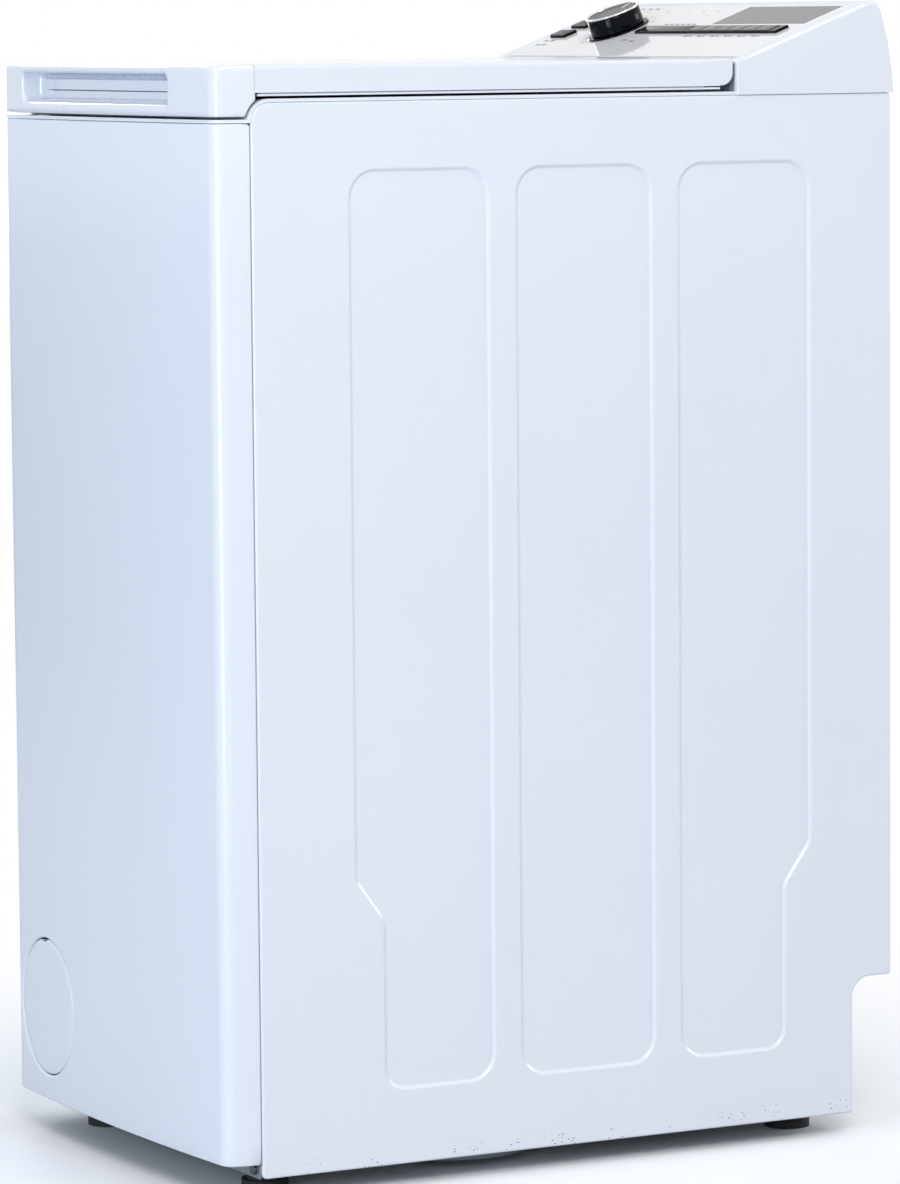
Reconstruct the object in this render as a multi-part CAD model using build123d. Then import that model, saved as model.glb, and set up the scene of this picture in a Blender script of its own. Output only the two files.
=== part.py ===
from build123d import *
from math import asin, atan, atan2, cos, degrees, hypot, pi, radians, sin, sqrt, tan
import os

# Top loading washing machine, 400 mm wide, with a drum on a cross axis and a hinged lid.
# Frame: millimetres, +Z up, the floor at Z 0, the front at -Y and the origin under the middle of
# the cabinet. X runs across the machine. Each separate piece is written to parts/NODE.step.

# Overall size
width = 400.0              # across the console, the widest piece
depth = 600.0              # from the bowed front to the back of the console
height = 900.0             # floor to the crest of the console

# Cabinet
floor_gap = 17.0           # floor to the lower edge of the side panels
console_height = 72.0      # from the top of the side panels to the crest
sheet = 1.0                # painted steel sheet
side_inset = 1.0           # side panels and lid sit this far inside the console's sides
flange = 22.0              # inward fold round each side panel
front_return = 35.0        # apex of the front panel to the front edge of the side panels
front_bow = 6.5            # how far the front panel bows out
front_taper = 5.5          # how far each front corner sits inside the side panels
front_corner = 12.0        # outer radius of the front panel's upright corners
seam = 0.6                 # visible joint between painted panels
rear_overhang = 5.0        # the console reaches this far behind the side panels
panel_corner = 15.0        # radius of the side panel's top front corner
notch_depth = 36.0         # step in the lower rear of the side panels
notch_height = 109.0
notch_corner = 16.0
front_lift = 11.0          # the front panel ends this far above the side panels' lower edge
front_drop = 15.5          # and this far below their upper edge
front_fold = 16.0          # width of the fold round the front panel's back
hanger_drop = 26.0         # spring hangers below the top of the side panels
hanger_sheet = 2.0
cap_radius = 15.0          # transport hole caps
screw_inset = 11.0         # screws in from the side panels' faces
screw_head = 2.6           # height of a screw's head
bolt_gap = 0.2             # hole to the piece that passes through it
panel_gap = 0.5            # inner sheet parts to the side panels

# Pressed fields in the side panels
field_width = 121.5
field_pitch = 142.5
field_shift = 3.0          # the middle field sits this far behind the panel's middle
field_depth = 2.0
field_run = 4.0            # width of the sloping wall round a field
field_top_margin = 50.5
field_bottom_margin = 57.0
field_corner = 24.0
field_step = 24.0          # the outer fields narrow by this much lower down
field_step_height = 205.0  # height above the panel's edge where the step starts
field_step_rise = 33.0

# Deck and lid
deck_sheet = 2.5
mouth_width = 216.0        # loading opening, across X
mouth_length = 304.0       # loading opening, along Y
mouth_corner = 22.0
collar_depth = 15.0
lid_height = 28.0          # top of the side panels to the top of the lid
lid_wall = 2.5
lid_gap = 2.0              # gap under the lid's edges
console_depth = 145.5      # front of the console to its back
lid_rear_corner = 10.0
lid_side_lift = 7.0        # the side skirt ends this far above the side panels
grip_seam = 261.0          # distance of the grip section's seam in front of the middle
grip_gap = 0.4
liner_sheet = 1.5
console_gap = 4.5          # between the lid's rear edge and the console
hinge_inset = 10.5         # hinge axis in front of the lid's rear edge
hinge_drop = 10.0          # hinge axis below the lid's top
hinge_pin_radius = 3.0
hinge_lug_inset = 43.0     # middle of each hinge lug in from the side panel's face
hinge_lug_width = 12.0
recess_left_inset = 49.0   # hand recess in the lid's front, in from the left side
recess_right_inset = 77.0
recess_height = 25.5
recess_depth = 26.0
recess_lip = 7.0           # solid lip above the hand recess
ridge_pitch = 4.0

# Detergent tray under the lid
tray_inset = 24.0          # in from each side of the loading opening
tray_length = 170.0
tray_height = 28.0
tray_wall = 1.8
tray_setback = 57.0        # behind the front of the loading opening
tray_flange = 4.0
rail_clearance = 0.4

# Console
console_wall = 2.5
slope_angle = 20.5
crest_radius = 12.0
crest_setback = 23.0       # centre of the crest in front of the console's back
fascia_inset = 14.0        # in from each side of the console
fascia_start = 8.0         # distances up the slope from the console's front edge
fascia_end = 122.0
fascia_clearance = 0.3
fascia_recess = 0.4
fascia_sheet = 2.5
knob_place = (-95.0, 66.0)  # X, and distance up the slope
knob_radius = 23.3
knob_height = 17.3
bezel_rim = 3.2            # the bezel is this much larger than the knob
shaft_radius = 3.0
bar_left = -55.0
bar_right = 167.0
bar_start = 58.0
bar_depth = 13.0
bar_height = 2.2
key_count = 6
key_zone_left = 30.0
key_zone_right = 156.0
key_travel = 0.8
key_gap = 0.3
button_width = 25.0
button_x = -170.5
button_starts = (49.0, 70.5)
button_depth = 13.5
button_travel = 1.2
stem_radius = 2.5
display_box = (35.0, 177.0, 79.0, 118.0)
lamp_radius = 1.2
lamp_places = ((-116.0, 109.0), (-83.0, 109.0), (-50.0, 109.0), (-25.0, 109.0), (-1.0, 109.0), (-5.0, 99.5))
board_drop = 15.0          # board below the fascia's face
board_sheet = 1.6

# Drum, tub and drive
axis_setback = 280.0       # drum axis behind the front
axis_drop = 358.0          # drum axis below the top of the side panels
drum_radius = 230.0
drum_length = 250.0
drum_sheet = 1.0
flap_margin = 27.0         # loading opening to each flap's pin
flap_inset = 13.0          # loading opening to each end of a flap
flap_lip = 6.0             # depth of the stiffening lip along a flap's free edge
lip_width = 9.0
fixed_knuckle = 81.0       # X of the drum's hinge barrels
moving_knuckle = 60.0      # X of the flaps' hinge barrels
latch_offset = 24.0        # latch button in front of the middle, along the skin
flap_pin_radius = 2.0
knuckle_radius = 4.0
knuckle_length = 20.0
latch_radius = 10.0
latch_travel = 3.0
hub_radius = 70.0
hub_sheet = 5.0
axle_radius = 12.45
bearing_outer = 26.0
bearing_inner = 12.5
bearing_width = 15.0
tub_gap = 18.0             # drum to tub
tub_side_gap = 8.0         # drum hub to tub side
tub_wall = 4.0
neck_wall = 3.0
neck_height = 10.0         # the neck stands this far above the tub
bellows_wall = 2.5
bellows_fold = 9.0
pulley_inset = 112.0       # the pulley is this much smaller than the tub
pulley_width = 12.0
motor_pulley_radius = 10.0
belt_thickness = 3.0
belt_clearance = 0.3
motor_setback = 110.0      # motor axis behind the drum axis
motor_drop = 88.0          # motor axis below the tub
motor_radius = 55.0
motor_length = 150.0
rotor_radius = 7.0
motor_right_end = 150.0    # X of the motor's left end, negated
motor_lugs = (-105.0, -25.0)
motor_lug_width = 20.0
spring_inset = 87.0        # springs in from the tub's front and rear
spring_offset = 30.0       # springs beside the tub
spring_radius = 9.0
wire_radius = 1.6
lug_height = 130.0         # spring lugs above the drum axis
damper_offset = 21.0       # dampers beside the tub
damper_setback = 105.0     # dampers in front of the drum axis
damper_inset = 82.0        # damper lugs above the tub's lowest point
damper_radius = 12.0
damper_tube = 130.0

# Water parts, base and feet
cover_radius = 54.6
cover_inset = 17.4         # filter cover in from the left side panel's face
cover_lift = 20.9          # filter cover above the front panel's lower edge
cover_gap = 0.8
cover_sheet = 2.5
filter_radius = 25.0
filter_housing_radius = 36.0
crossbar_depth = 44.0
crossbar_height = 26.0
foot_radius = 18.0
foot_inset = 58.0          # feet in from the sides
front_foot_setback = 64.0
rear_foot_setback = 68.0
foot_pad = 9.0
stud_radius = 5.0
thread_gap = 0.05          # stud, pin or shaft to its bore
sump_inset = 46.0          # sump in from each side of the tub
sump_y = 42.0
sump_depth = 27.0          # below the tub
hose_run = 32.0            # pump inlet to below the sump's spout
spout_length = 22.0
spout_radius = 15.0
heater_depth = 13.0        # heater below the tub
heater_plug = 11.0
hose_bore = 11.0
hose_bend = 28.0
pump_reach = 55.0          # pump axis to its inlet
pump_setback = 14.0        # front of the pump's housing behind the front
inlet_setback = 70.0       # pump inlet behind the front of its housing
valve_inset = 60.0         # water valve in from the right side
gland_inset = 50.0         # cable bush in from the left side
fitting_drop = 58.0        # both below the top of the side panels
spigot_radius = 13.2
thread_relief = 0.5        # the thread starts this far outside the rear panel
dip_inset = 108.0          # round dip of the base tray in from the right side
dip_setback = 248.0        # and behind the front
dip_radius = 75.0
dip_bottom = 5.0
dip_slant = 25.0

# Places that follow from the sizes above
half_width = width / 2
side_x = half_width - side_inset
front_y = -depth / 2
rear_y = depth / 2
side_front = front_y + front_return
side_rear = rear_y - rear_overhang
side_top = height - console_height
front_top = side_top - front_drop
front_bottom = floor_gap + front_lift
deck_top = side_top + deck_sheet
ledge_top = front_top + 0.3 + deck_sheet
lid_rear = rear_y - console_depth - console_gap
lid_top = side_top + lid_height
skirt_bottom = side_top + lid_side_lift
liner_bottom = deck_top + lid_gap
grip_bottom = ledge_top + lid_gap
hinge_offset = side_x - hinge_lug_inset
hinge_y = lid_rear - hinge_inset
hinge_z = lid_top - hinge_drop
recess_left = recess_left_inset - side_x
recess_right = side_x - recess_right_inset
recess_top = lid_top - recess_lip
recess_bottom = recess_top - recess_height
console_front = rear_y - console_depth
crest_y = rear_y - crest_setback
crest_z = height - crest_radius
slope_y = crest_y - crest_radius * sin(radians(slope_angle))
slope_z = crest_z + crest_radius * cos(radians(slope_angle))
edge_z = slope_z - (slope_y - console_front) * tan(radians(slope_angle))
face = -fascia_recess      # height of the fascia's face above the slope's plane
stem_end = face - fascia_sheet - 3.0
fascia_half_width = half_width - fascia_inset
bezel_radius = knob_radius + bezel_rim
field_centre = (side_front + side_rear) / 2 + field_shift
axis_y = front_y + axis_setback
axis_z = side_top - axis_drop
mouth_front = axis_y - mouth_length / 2
tray_width = mouth_width - 2 * tray_inset
tray_front = mouth_front + tray_setback
tub_inner = drum_radius + tub_gap
tub_outer = tub_inner + tub_wall
neck_top = tub_outer + neck_height
drum_half = drum_length / 2
tub_half = drum_half + hub_sheet + tub_side_gap
tub_side = tub_half + tub_wall
bearing_start = tub_side + 2.0
hub_end = bearing_start + bearing_width + 1.0
pulley_start = hub_end + 7.0
pulley_end = pulley_start + pulley_width
pulley_radius = tub_outer - pulley_inset
drum_mouth = mouth_length - 2 * flap_margin
flap_length = mouth_width - 2 * flap_inset
pin_reach = drum_radius + 1.5
pin_angle = degrees(asin(drum_mouth / 2 / pin_reach))
latch_angle = degrees(latch_offset / drum_radius)
motor_place = (axis_y + motor_setback, axis_z - tub_outer - motor_drop)
motor_lug_z = -tub_outer + 7.0
hanger_x = tub_side + spring_offset
hanger_z = side_top - hanger_drop
spring_spread = tub_outer - spring_inset
sump_x = tub_half - sump_inset
sump_drop = tub_outer + sump_depth
heater_z = -tub_outer - heater_depth
crossbar_bottom = floor_gap + sheet
crossbar_top = crossbar_bottom + crossbar_height
rear_bar_end = side_rear - notch_depth - 2 * sheet - panel_gap
rear_bar = (rear_bar_end - crossbar_depth, rear_bar_end)
foot_x = half_width - foot_inset
front_foot_y = front_y + front_foot_setback
rear_foot_y = rear_y - rear_foot_setback
damper_x = tub_side + damper_offset
damper_y = axis_y - damper_setback
damper_low = crossbar_bottom + 2.0
damper_top = axis_z - tub_outer + damper_inset
cover_place = (cover_inset + cover_radius - side_x, front_bottom + cover_lift + cover_radius)
pump_front = front_y + pump_setback
pump_inlet = cover_place[0] + pump_reach
spout_x = pump_inlet + hose_run
valve_place = (half_width - valve_inset, side_top - fitting_drop)
gland_place = (gland_inset - half_width, side_top - fitting_drop)
cap_places = ((-110.0, axis_z + 170), (110.0, axis_z + 170), (0.0, axis_z - 220))
lock_slot = (side_x - 65, side_x - 53, front_y + 51, front_y + 71)
screw_x = side_x - screw_inset
screw_z = floor_gap + 6.5
dip_place = (half_width - dip_inset, front_y + dip_setback)

slope = Plane(
    origin=(0, console_front, edge_z),
    x_dir=(1, 0, 0),
    z_dir=(0, -sin(radians(slope_angle)), cos(radians(slope_angle))),
).location
drum_axis = Pos(0, axis_y, axis_z)


# Small helpers

def box(x0, x1, y0, y1, z0, z1):
    """A block between two corners."""
    return Pos((x0 + x1) / 2, (y0 + y1) / 2, (z0 + z1) / 2) * Box(x1 - x0, y1 - y0, z1 - z0)


def rod_x(x0, x1, y, z, radius):
    return Pos((x0 + x1) / 2, y, z) * Rot(0, 90, 0) * Cylinder(radius, x1 - x0)


def rod_y(y0, y1, x, z, radius):
    return Pos(x, (y0 + y1) / 2, z) * Rot(90, 0, 0) * Cylinder(radius, y1 - y0)


def rod_z(z0, z1, x, y, radius):
    return Pos(x, y, (z0 + z1) / 2) * Cylinder(radius, z1 - z0)


def prism_x(outline, x0, x1):
    """A flat outline in (Y, Z), made solid from x0 to x1."""
    return extrude(Plane.YZ.offset(x0) * outline, amount=x1 - x0)


def prism_z(outline, z0, z1):
    """A flat outline in (X, Y), made solid from z0 to z1."""
    return extrude(Plane.XY.offset(z0) * outline, amount=z1 - z0)


def rounded(outline, corners):
    """Round the corners nearest the given points of a flat outline."""
    for point, radius in corners:
        corner = min(outline.vertices(), key=lambda vertex: (vertex.center() - Vector(*point)).length)
        outline = fillet(corner, radius)
    return outline


def rectangle(u0, u1, v0, v1, radius=0.0):
    """A flat rectangle between two corners, with round corners."""
    shape = Rectangle(u1 - u0, v1 - v0) if radius == 0 else RectangleRounded(u1 - u0, v1 - v0, radius)
    return Pos((u0 + u1) / 2, (v0 + v1) / 2) * shape


def around_x(radius, angle):
    """The (Y, Z) point at a radius and an angle from the top, towards +Y."""
    return (radius * sin(radians(angle)), radius * cos(radians(angle)))


def arc_plate(inner, outer, angle0, angle1, x0, x1):
    """A curved plate round the X axis, between two angles measured from the top."""
    middle = (angle0 + angle1) / 2
    edge = Line(around_x(inner, angle0), around_x(outer, angle0))
    edge += ThreePointArc(around_x(outer, angle0), around_x(outer, middle), around_x(outer, angle1))
    edge += Line(around_x(outer, angle1), around_x(inner, angle1))
    edge += ThreePointArc(around_x(inner, angle1), around_x(inner, middle), around_x(inner, angle0))
    return prism_x(make_face(edge), x0, x1)


def ring_x(inner, outer, x0, x1):
    """A ring round the X axis."""
    return rod_x(x0, x1, 0, 0, outer) - rod_x(x0, x1, 0, 0, inner)


def mirrored_pair(piece):
    """The piece and its mirror image on the other side of X 0."""
    return Compound([*piece.solids(), *mirror(piece, about=Plane.YZ).solids()])


def group(*pieces):
    """Separate solids kept in one node."""
    return Compound([solid for piece in pieces for solid in piece.solids()])


# Cabinet

def plan_outline():
    """Outline of the cabinet seen from above: a bowed front with tapered, rounded corners."""
    corner_x = side_x - front_taper
    corner_y = front_y + front_bow
    edge = Line((-side_x, side_rear), (-side_x, side_front))
    edge += Line((-side_x, side_front), (-corner_x, corner_y))
    edge += ThreePointArc((-corner_x, corner_y), (0, front_y), (corner_x, corner_y))
    edge += Line((corner_x, corner_y), (side_x, side_front))
    edge += Line((side_x, side_front), (side_x, side_rear))
    edge += Line((side_x, side_rear), (-side_x, side_rear))
    corners = [((-corner_x, corner_y), front_corner), ((corner_x, corner_y), front_corner)]
    return rounded(make_face(edge), corners)


def side_outline():
    """Outline of a side panel in (Y, Z)."""
    notch_y = side_rear - notch_depth
    notch_z = floor_gap + notch_height
    points = [
        (side_front, floor_gap), (notch_y, floor_gap), (notch_y, notch_z),
        (side_rear, notch_z), (side_rear, side_top), (side_front, side_top),
    ]
    corners = [((notch_y, notch_z), notch_corner), ((side_front, side_top), panel_corner)]
    return rounded(make_face(Polyline(*points, close=True)), corners)


def field_outline(centre, step_side):
    """Outline of one pressed field; step_side is -1, 0 or 1 for the side that narrows lower down."""
    top = side_top - field_top_margin
    bottom = floor_gap + field_bottom_margin
    step_low = floor_gap + field_step_height - field_step_rise / 2
    half = field_width / 2
    straight = [(centre - step_side * half, bottom), (centre - step_side * half, top)]
    outer = centre + step_side * half
    if step_side == 0:
        return rectangle(centre - half, centre + half, bottom, top, field_corner)
    inner = outer - step_side * field_step
    points = [
        *straight, (outer, top), (outer, step_low + field_step_rise), (inner, step_low), (inner, bottom),
    ]
    radii = [field_corner] * 3 + [field_corner / 2] * 2 + [field_corner]
    return rounded(make_face(Polyline(*points, close=True)), list(zip(points, radii)))


def pressed(outline, face_x):
    """The tapered hollow that a pressed field takes out of a surface at face_x."""
    slant = degrees(atan(field_run / field_depth))
    plane = Plane(origin=(face_x, 0, 0), x_dir=(0, 1, 0), z_dir=(1, 0, 0))
    return extrude(plane * outline, amount=-field_depth, taper=slant)


def make_side_panel():
    """Right side panel: a folded pan with three pressed fields and two spring hangers."""
    outline = side_outline()
    pan = prism_x(outline, side_x - flange, side_x)
    pan -= prism_x(offset(outline, -sheet), side_x - flange, side_x - sheet)
    for step, place in ((-1, -field_pitch), (0, 0.0), (1, field_pitch)):
        field = field_outline(field_centre + place, step)
        pan += pressed(offset(field, sheet), side_x - sheet)
        pan -= pressed(field, side_x)
    for y in spring_places():
        pan += box(hanger_x - 10, side_x - sheet, y - 14, y + 14, hanger_z - hanger_sheet, hanger_z)
    return pan


def make_front_panel():
    """Bowed front sheet with a folded edge all round and the hole for the filter cover."""
    outline = plan_outline()
    keep = box(-half_width, half_width, front_y - 1, side_front - seam, front_bottom, front_top)
    shell = prism_z(outline, front_bottom, front_top) & keep
    inside = prism_z(offset(outline, -sheet), front_bottom + sheet, front_top - sheet)
    shell -= inside & box(-half_width, half_width, front_y, side_front - seam - sheet, 0, height)
    shell -= box(-side_x + flange, side_x - flange, front_y + front_fold, side_front, 0, height)
    return shell - rod_y(front_y - 5, side_front, *cover_place, cover_radius + cover_gap)


def make_rear_panel():
    """Rear sheet, stepped forward at the bottom, with holes for the fittings that pass through it."""
    back = side_rear - sheet
    notch_y = side_rear - notch_depth
    notch_z = floor_gap + notch_height + sheet
    reach = side_x - sheet - panel_gap
    plate = box(-reach, reach, back - sheet, back, notch_z, side_top - sheet - panel_gap)
    plate += box(-reach, reach, notch_y - 2 * sheet, back, notch_z, notch_z + sheet)
    plate += box(-reach, reach, notch_y - 2 * sheet, notch_y - sheet, floor_gap + sheet, notch_z)
    plate -= rod_y(back - 5, back + 5, *valve_place, spigot_radius + bolt_gap)
    plate -= rod_y(back - 5, back + 5, *gland_place, 8 + bolt_gap)
    for x, z in cap_places:
        plate -= rod_y(back - 5, back + 5, x, z, cap_radius - 3 + bolt_gap)
    return plate


def make_crossbars():
    """Front and rear steel crossbars: folded channels on the side panels' lower flanges."""
    reach = side_x - sheet - panel_gap
    bars = []
    for y0, y1 in ((side_front + sheet, side_front + sheet + crossbar_depth), rear_bar):
        bar = box(-reach, reach, y0, y1, crossbar_bottom, crossbar_top)
        bar -= box(-reach, reach, y0 + 2, y1 - 2, crossbar_bottom + 2, crossbar_top)
        for x in (-foot_x, foot_x):
            foot_y = front_foot_y if y0 < 0 else rear_foot_y
            bar += rod_z(crossbar_bottom, crossbar_bottom + 10, x, foot_y, 10)
            bar -= rod_z(crossbar_bottom - 1, crossbar_bottom + 20, x, foot_y, stud_radius + thread_gap)
        bars.append(bar)
    apron_y = side_front - 1.6
    apron = box(-side_x + 3, side_x - 3, apron_y, apron_y + 1.2, floor_gap, front_bottom - 0.4)
    inner_x = side_x - flange - 2
    apron += box(-inner_x, inner_x, apron_y, side_front + sheet, crossbar_bottom, crossbar_bottom + 2)
    bars[0] = bars[0] + apron
    return group(*bars)


def make_base_tray():
    """Moulded drip tray that closes the underside between the crossbars, with a shallow round dip."""
    y0 = side_front + sheet + crossbar_depth + 0.5
    y1 = rear_bar[0] - 0.5
    reach = side_x - sheet - 0.8
    z0 = crossbar_bottom
    tray = box(-reach, reach, y0, y1, z0, z0 + 22)
    tray -= box(-reach + 2, reach - 2, y0 + 2, y1 - 2, z0 + 2, z0 + 22)
    dip = Plane.XY.offset(z0 + 2) * (Pos(*dip_place) * Circle(dip_radius))
    tray += extrude(dip, amount=-(z0 + 2 - dip_bottom), taper=dip_slant)
    hollow = Plane.XY.offset(z0 + 2.01) * (Pos(*dip_place) * Circle(dip_radius - 3))
    return tray - extrude(hollow, amount=-(z0 - dip_bottom), taper=dip_slant)


def make_foot(x, y):
    """Levelling foot: a round pad with a hexagon and a threaded stud."""
    foot = rod_z(0, foot_pad - 3, x, y, foot_radius) + rod_z(foot_pad - 3, foot_pad, x, y, foot_radius - 4)
    foot += Pos(x, y, foot_pad) * extrude(RegularPolygon(9, 6), amount=5)
    return foot + rod_z(foot_pad, crossbar_bottom + 22, x, y, stud_radius)


def make_screws():
    """Pan head screws: two below the front panel's corners and six in the rear panel."""
    screws = []
    for x in (-screw_x, screw_x):
        head_y = side_front - 1.6
        screws.append(rod_y(head_y - screw_head, head_y, x, screw_z, 4.2))
        for z in (floor_gap + notch_height + 54, axis_z, side_top - 38):
            screws.append(rod_y(side_rear, side_rear + screw_head, x, z, 4.0))
    return group(*screws)


def make_caps():
    """Plastic caps that close the transport bolt holes in the rear panel."""
    back = side_rear - sheet
    return group(*[
        rod_y(back, back + 3, x, z, cap_radius) + rod_y(back - 9, back, x, z, cap_radius - 3)
        for x, z in cap_places
    ])


# Deck and lid

def mouth_outline(grow):
    """Outline of the loading opening, grown outwards."""
    half_x = mouth_width / 2 + grow
    half_y = mouth_length / 2 + grow
    return rectangle(-half_x, half_x, axis_y - half_y, axis_y + half_y, mouth_corner + grow)


def make_top_frame():
    """Plastic deck: it caps the cabinet, steps down at the front and frames the loading opening."""
    bend_y = side_front + panel_corner
    bend_z = side_top - panel_corner
    outer = panel_corner + deck_sheet
    ledge = ledge_top - deck_sheet
    meet_z = ledge_top - bend_z
    meet_y = bend_y - sqrt(outer**2 - meet_z**2)
    low_y = bend_y - sqrt(panel_corner**2 - (ledge - bend_z)**2)
    edge = Polyline((bend_y, side_top), (side_rear - 2 * sheet - 0.5, side_top))
    edge += Line((side_rear - 2 * sheet - 0.5, side_top), (side_rear - 2 * sheet - 0.5, deck_top))
    edge += Line((side_rear - 2 * sheet - 0.5, deck_top), (bend_y, deck_top))
    turn = atan2(meet_z, meet_y - bend_y) / 2 + pi / 4
    edge += ThreePointArc(
        (bend_y, deck_top), (bend_y + outer * cos(turn), bend_z + outer * sin(turn)), (meet_y, ledge_top)
    )
    edge += Polyline((meet_y, ledge_top), (front_y, ledge_top), (front_y, ledge), (low_y, ledge))
    turn = atan2(ledge - bend_z, low_y - bend_y)
    turn = (turn + (2 * pi if turn < 0 else 0)) / 2 + pi / 4
    edge += ThreePointArc(
        (low_y, ledge), (bend_y + panel_corner * cos(turn), bend_z + panel_corner * sin(turn)),
        (bend_y, side_top),
    )
    deck = prism_x(make_face(edge), -side_x, side_x)
    deck &= prism_z(plan_outline(), 0, height)
    trim = side_x - (half_width - console_wall) + 0.3
    for sign in (-1, 1):
        inner, outer_x = sorted((sign * (side_x - trim), sign * (side_x + 1)))
        deck -= box(inner, outer_x, console_front - 0.3, side_rear, side_top - 1, deck_top + 1)
    deck += prism_z(mouth_outline(lid_wall), side_top - collar_depth, deck_top)
    deck -= prism_z(mouth_outline(0), side_top - collar_depth - 1, deck_top + 1)
    deck -= box(*lock_slot, side_top - 1, deck_top + 1)
    for sign in (-1, 1):
        x = sign * hinge_offset
        x0 = x - hinge_lug_width / 2
        x1 = x + hinge_lug_width / 2
        lug = box(x0, x1, hinge_y - 6.5, hinge_y + 6.5, deck_top, hinge_z)
        lug += rod_x(x0, x1, hinge_y, hinge_z, 6.5)
        deck += lug
        deck -= rod_x(x0 - 1, x1 + 1, hinge_y, hinge_z, hinge_pin_radius + thread_gap)
    return deck


def lid_side_outline():
    """Outline of the lid behind the grip section, in (Y, Z)."""
    front = -grip_seam
    points = [(front, skirt_bottom), (lid_rear, skirt_bottom), (lid_rear, lid_top), (front, lid_top)]
    corners = [((lid_rear, skirt_bottom), lid_rear_corner), ((lid_rear, lid_top), 3.0)]
    return rounded(make_face(Polyline(*points, close=True)), corners)


def hinge_notch(z0, z1):
    """Clear space for the deck's two hinge lugs while the lid turns."""
    reach = hinge_lug_width / 2 + 1.5
    notch = box(hinge_offset - reach, hinge_offset + reach, hinge_y - 11, lid_rear + 1, z0, z1)
    return notch + mirror(notch, about=Plane.YZ)


def make_lid_shell():
    """Outer cover of the lid, open below, with notches in its rear wall for the hinge lugs."""
    outline = lid_side_outline()
    shell = prism_x(outline, -side_x, side_x)
    long_edges = [
        edge for edge in shell.edges().filter_by(Axis.Y)
        if edge.center().Z > lid_top - 0.1 and abs(edge.center().X) > side_x - 0.1
    ]
    shell = fillet(long_edges, 4.0)
    inner_x = side_x - lid_wall
    front = -grip_seam - 1
    hollow = prism_x(offset(outline, -lid_wall), -inner_x, inner_x)
    rear = lid_rear - lid_rear_corner
    hollow += box(-inner_x, inner_x, front, rear, skirt_bottom - 1, lid_top - lid_wall)
    shell -= hollow
    return shell - hinge_notch(skirt_bottom - 1, hinge_z + 7.5)


def make_lid_grip():
    """Front section of the lid, which wraps both corners and holds the hand recess."""
    rear = -grip_seam - grip_gap
    block = prism_z(plan_outline(), grip_bottom, lid_top) & box(-side_x, side_x, front_y, rear, 0, height)
    inside = prism_z(offset(plan_outline(), -lid_wall), grip_bottom + lid_wall, lid_top - lid_wall)
    inside &= box(-side_x, side_x, front_y, rear, 0, height)
    pocket_back = front_y + recess_depth
    inside -= box(
        recess_left - lid_wall, recess_right + lid_wall, front_y, pocket_back + lid_wall,
        recess_bottom - lid_wall, recess_top + lid_wall
    )
    bend_y = side_front + panel_corner
    bend_z = side_top - panel_corner
    sweep_radius = panel_corner + deck_sheet + lid_gap
    block -= inside
    block -= box(recess_left, recess_right, front_y - 1, pocket_back, recess_bottom, recess_top)
    block -= rod_x(-half_width, half_width, bend_y, bend_z, sweep_radius)
    return block.fuse(*grip_ridges())


def grip_ridges():
    """Small ribs under the upper lip of the hand recess."""
    y0 = front_y + 8
    count = int((recess_right - recess_left - 10) / ridge_pitch)
    places = [recess_left + 6 + i * ridge_pitch for i in range(count)]
    return [box(x, x + 1.6, y0, y0 + 12, recess_top - 1.4, recess_top + 0.2) for x in places]


def make_lid_liner():
    """Inner panel of the lid, with hinge bosses, the tray's rails, an upright rim and the lock hook."""
    front = -grip_seam + 2
    rear = hinge_y
    edge_x = side_x - 0.8
    top = liner_bottom + liner_sheet
    liner = box(-edge_x, edge_x, front, rear, liner_bottom, top)
    rim_x = side_x - lid_wall - 0.3
    for sign in (-1, 1):
        x0, x1 = sorted((sign * rim_x, sign * (rim_x - liner_sheet)))
        liner += box(x0, x1, front + 2, rear - 13, top, top + 10)
        for offset_x in (-1, 1):
            centre = sign * hinge_offset + offset_x * (hinge_lug_width / 2 + 6)
            boss = box(centre - 5, centre + 5, hinge_y - 6, hinge_y, top, hinge_z)
            boss += rod_x(centre - 5, centre + 5, hinge_y, hinge_z, 6)
            liner += boss
    liner -= hinge_notch(liner_bottom - 1, lid_top)
    pin_hole = rod_x(hinge_offset - 18, hinge_offset + 18, hinge_y, hinge_z, hinge_pin_radius)
    liner -= pin_hole + mirror(pin_hole, about=Plane.YZ)
    flange_x = tray_width / 2 + tray_flange + rail_clearance
    rail_z = liner_bottom - rail_clearance - 3
    for sign in (-1, 1):
        wall = sorted((sign * flange_x, sign * (flange_x + 3)))
        shelf = sorted((sign * (tray_width / 2 + rail_clearance), sign * (flange_x + 3)))
        liner += box(*wall, tray_front, tray_front + tray_length, rail_z - 3, liner_bottom)
        liner += box(*shelf, tray_front, tray_front + tray_length, rail_z - 3, rail_z - rail_clearance)
    stop_y = tray_front + tray_length + 0.5
    liner += box(-20, 20, stop_y, stop_y + 3, rail_z - 3, liner_bottom)
    x0, x1, y0, y1 = lock_slot
    liner += box(x0 + 3, x1 - 3, y0 + 8, y0 + 13, liner_bottom - 20, liner_bottom)
    liner += box(x0 + 3, x1 - 3, y0 + 5.5, y0 + 8, liner_bottom - 20, liner_bottom - 15)
    return liner


def make_hinge_pins():
    """The two pins on which the lid turns."""
    return mirrored_pair(rod_x(hinge_offset - 16, hinge_offset + 16, hinge_y, hinge_z, hinge_pin_radius))


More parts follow.
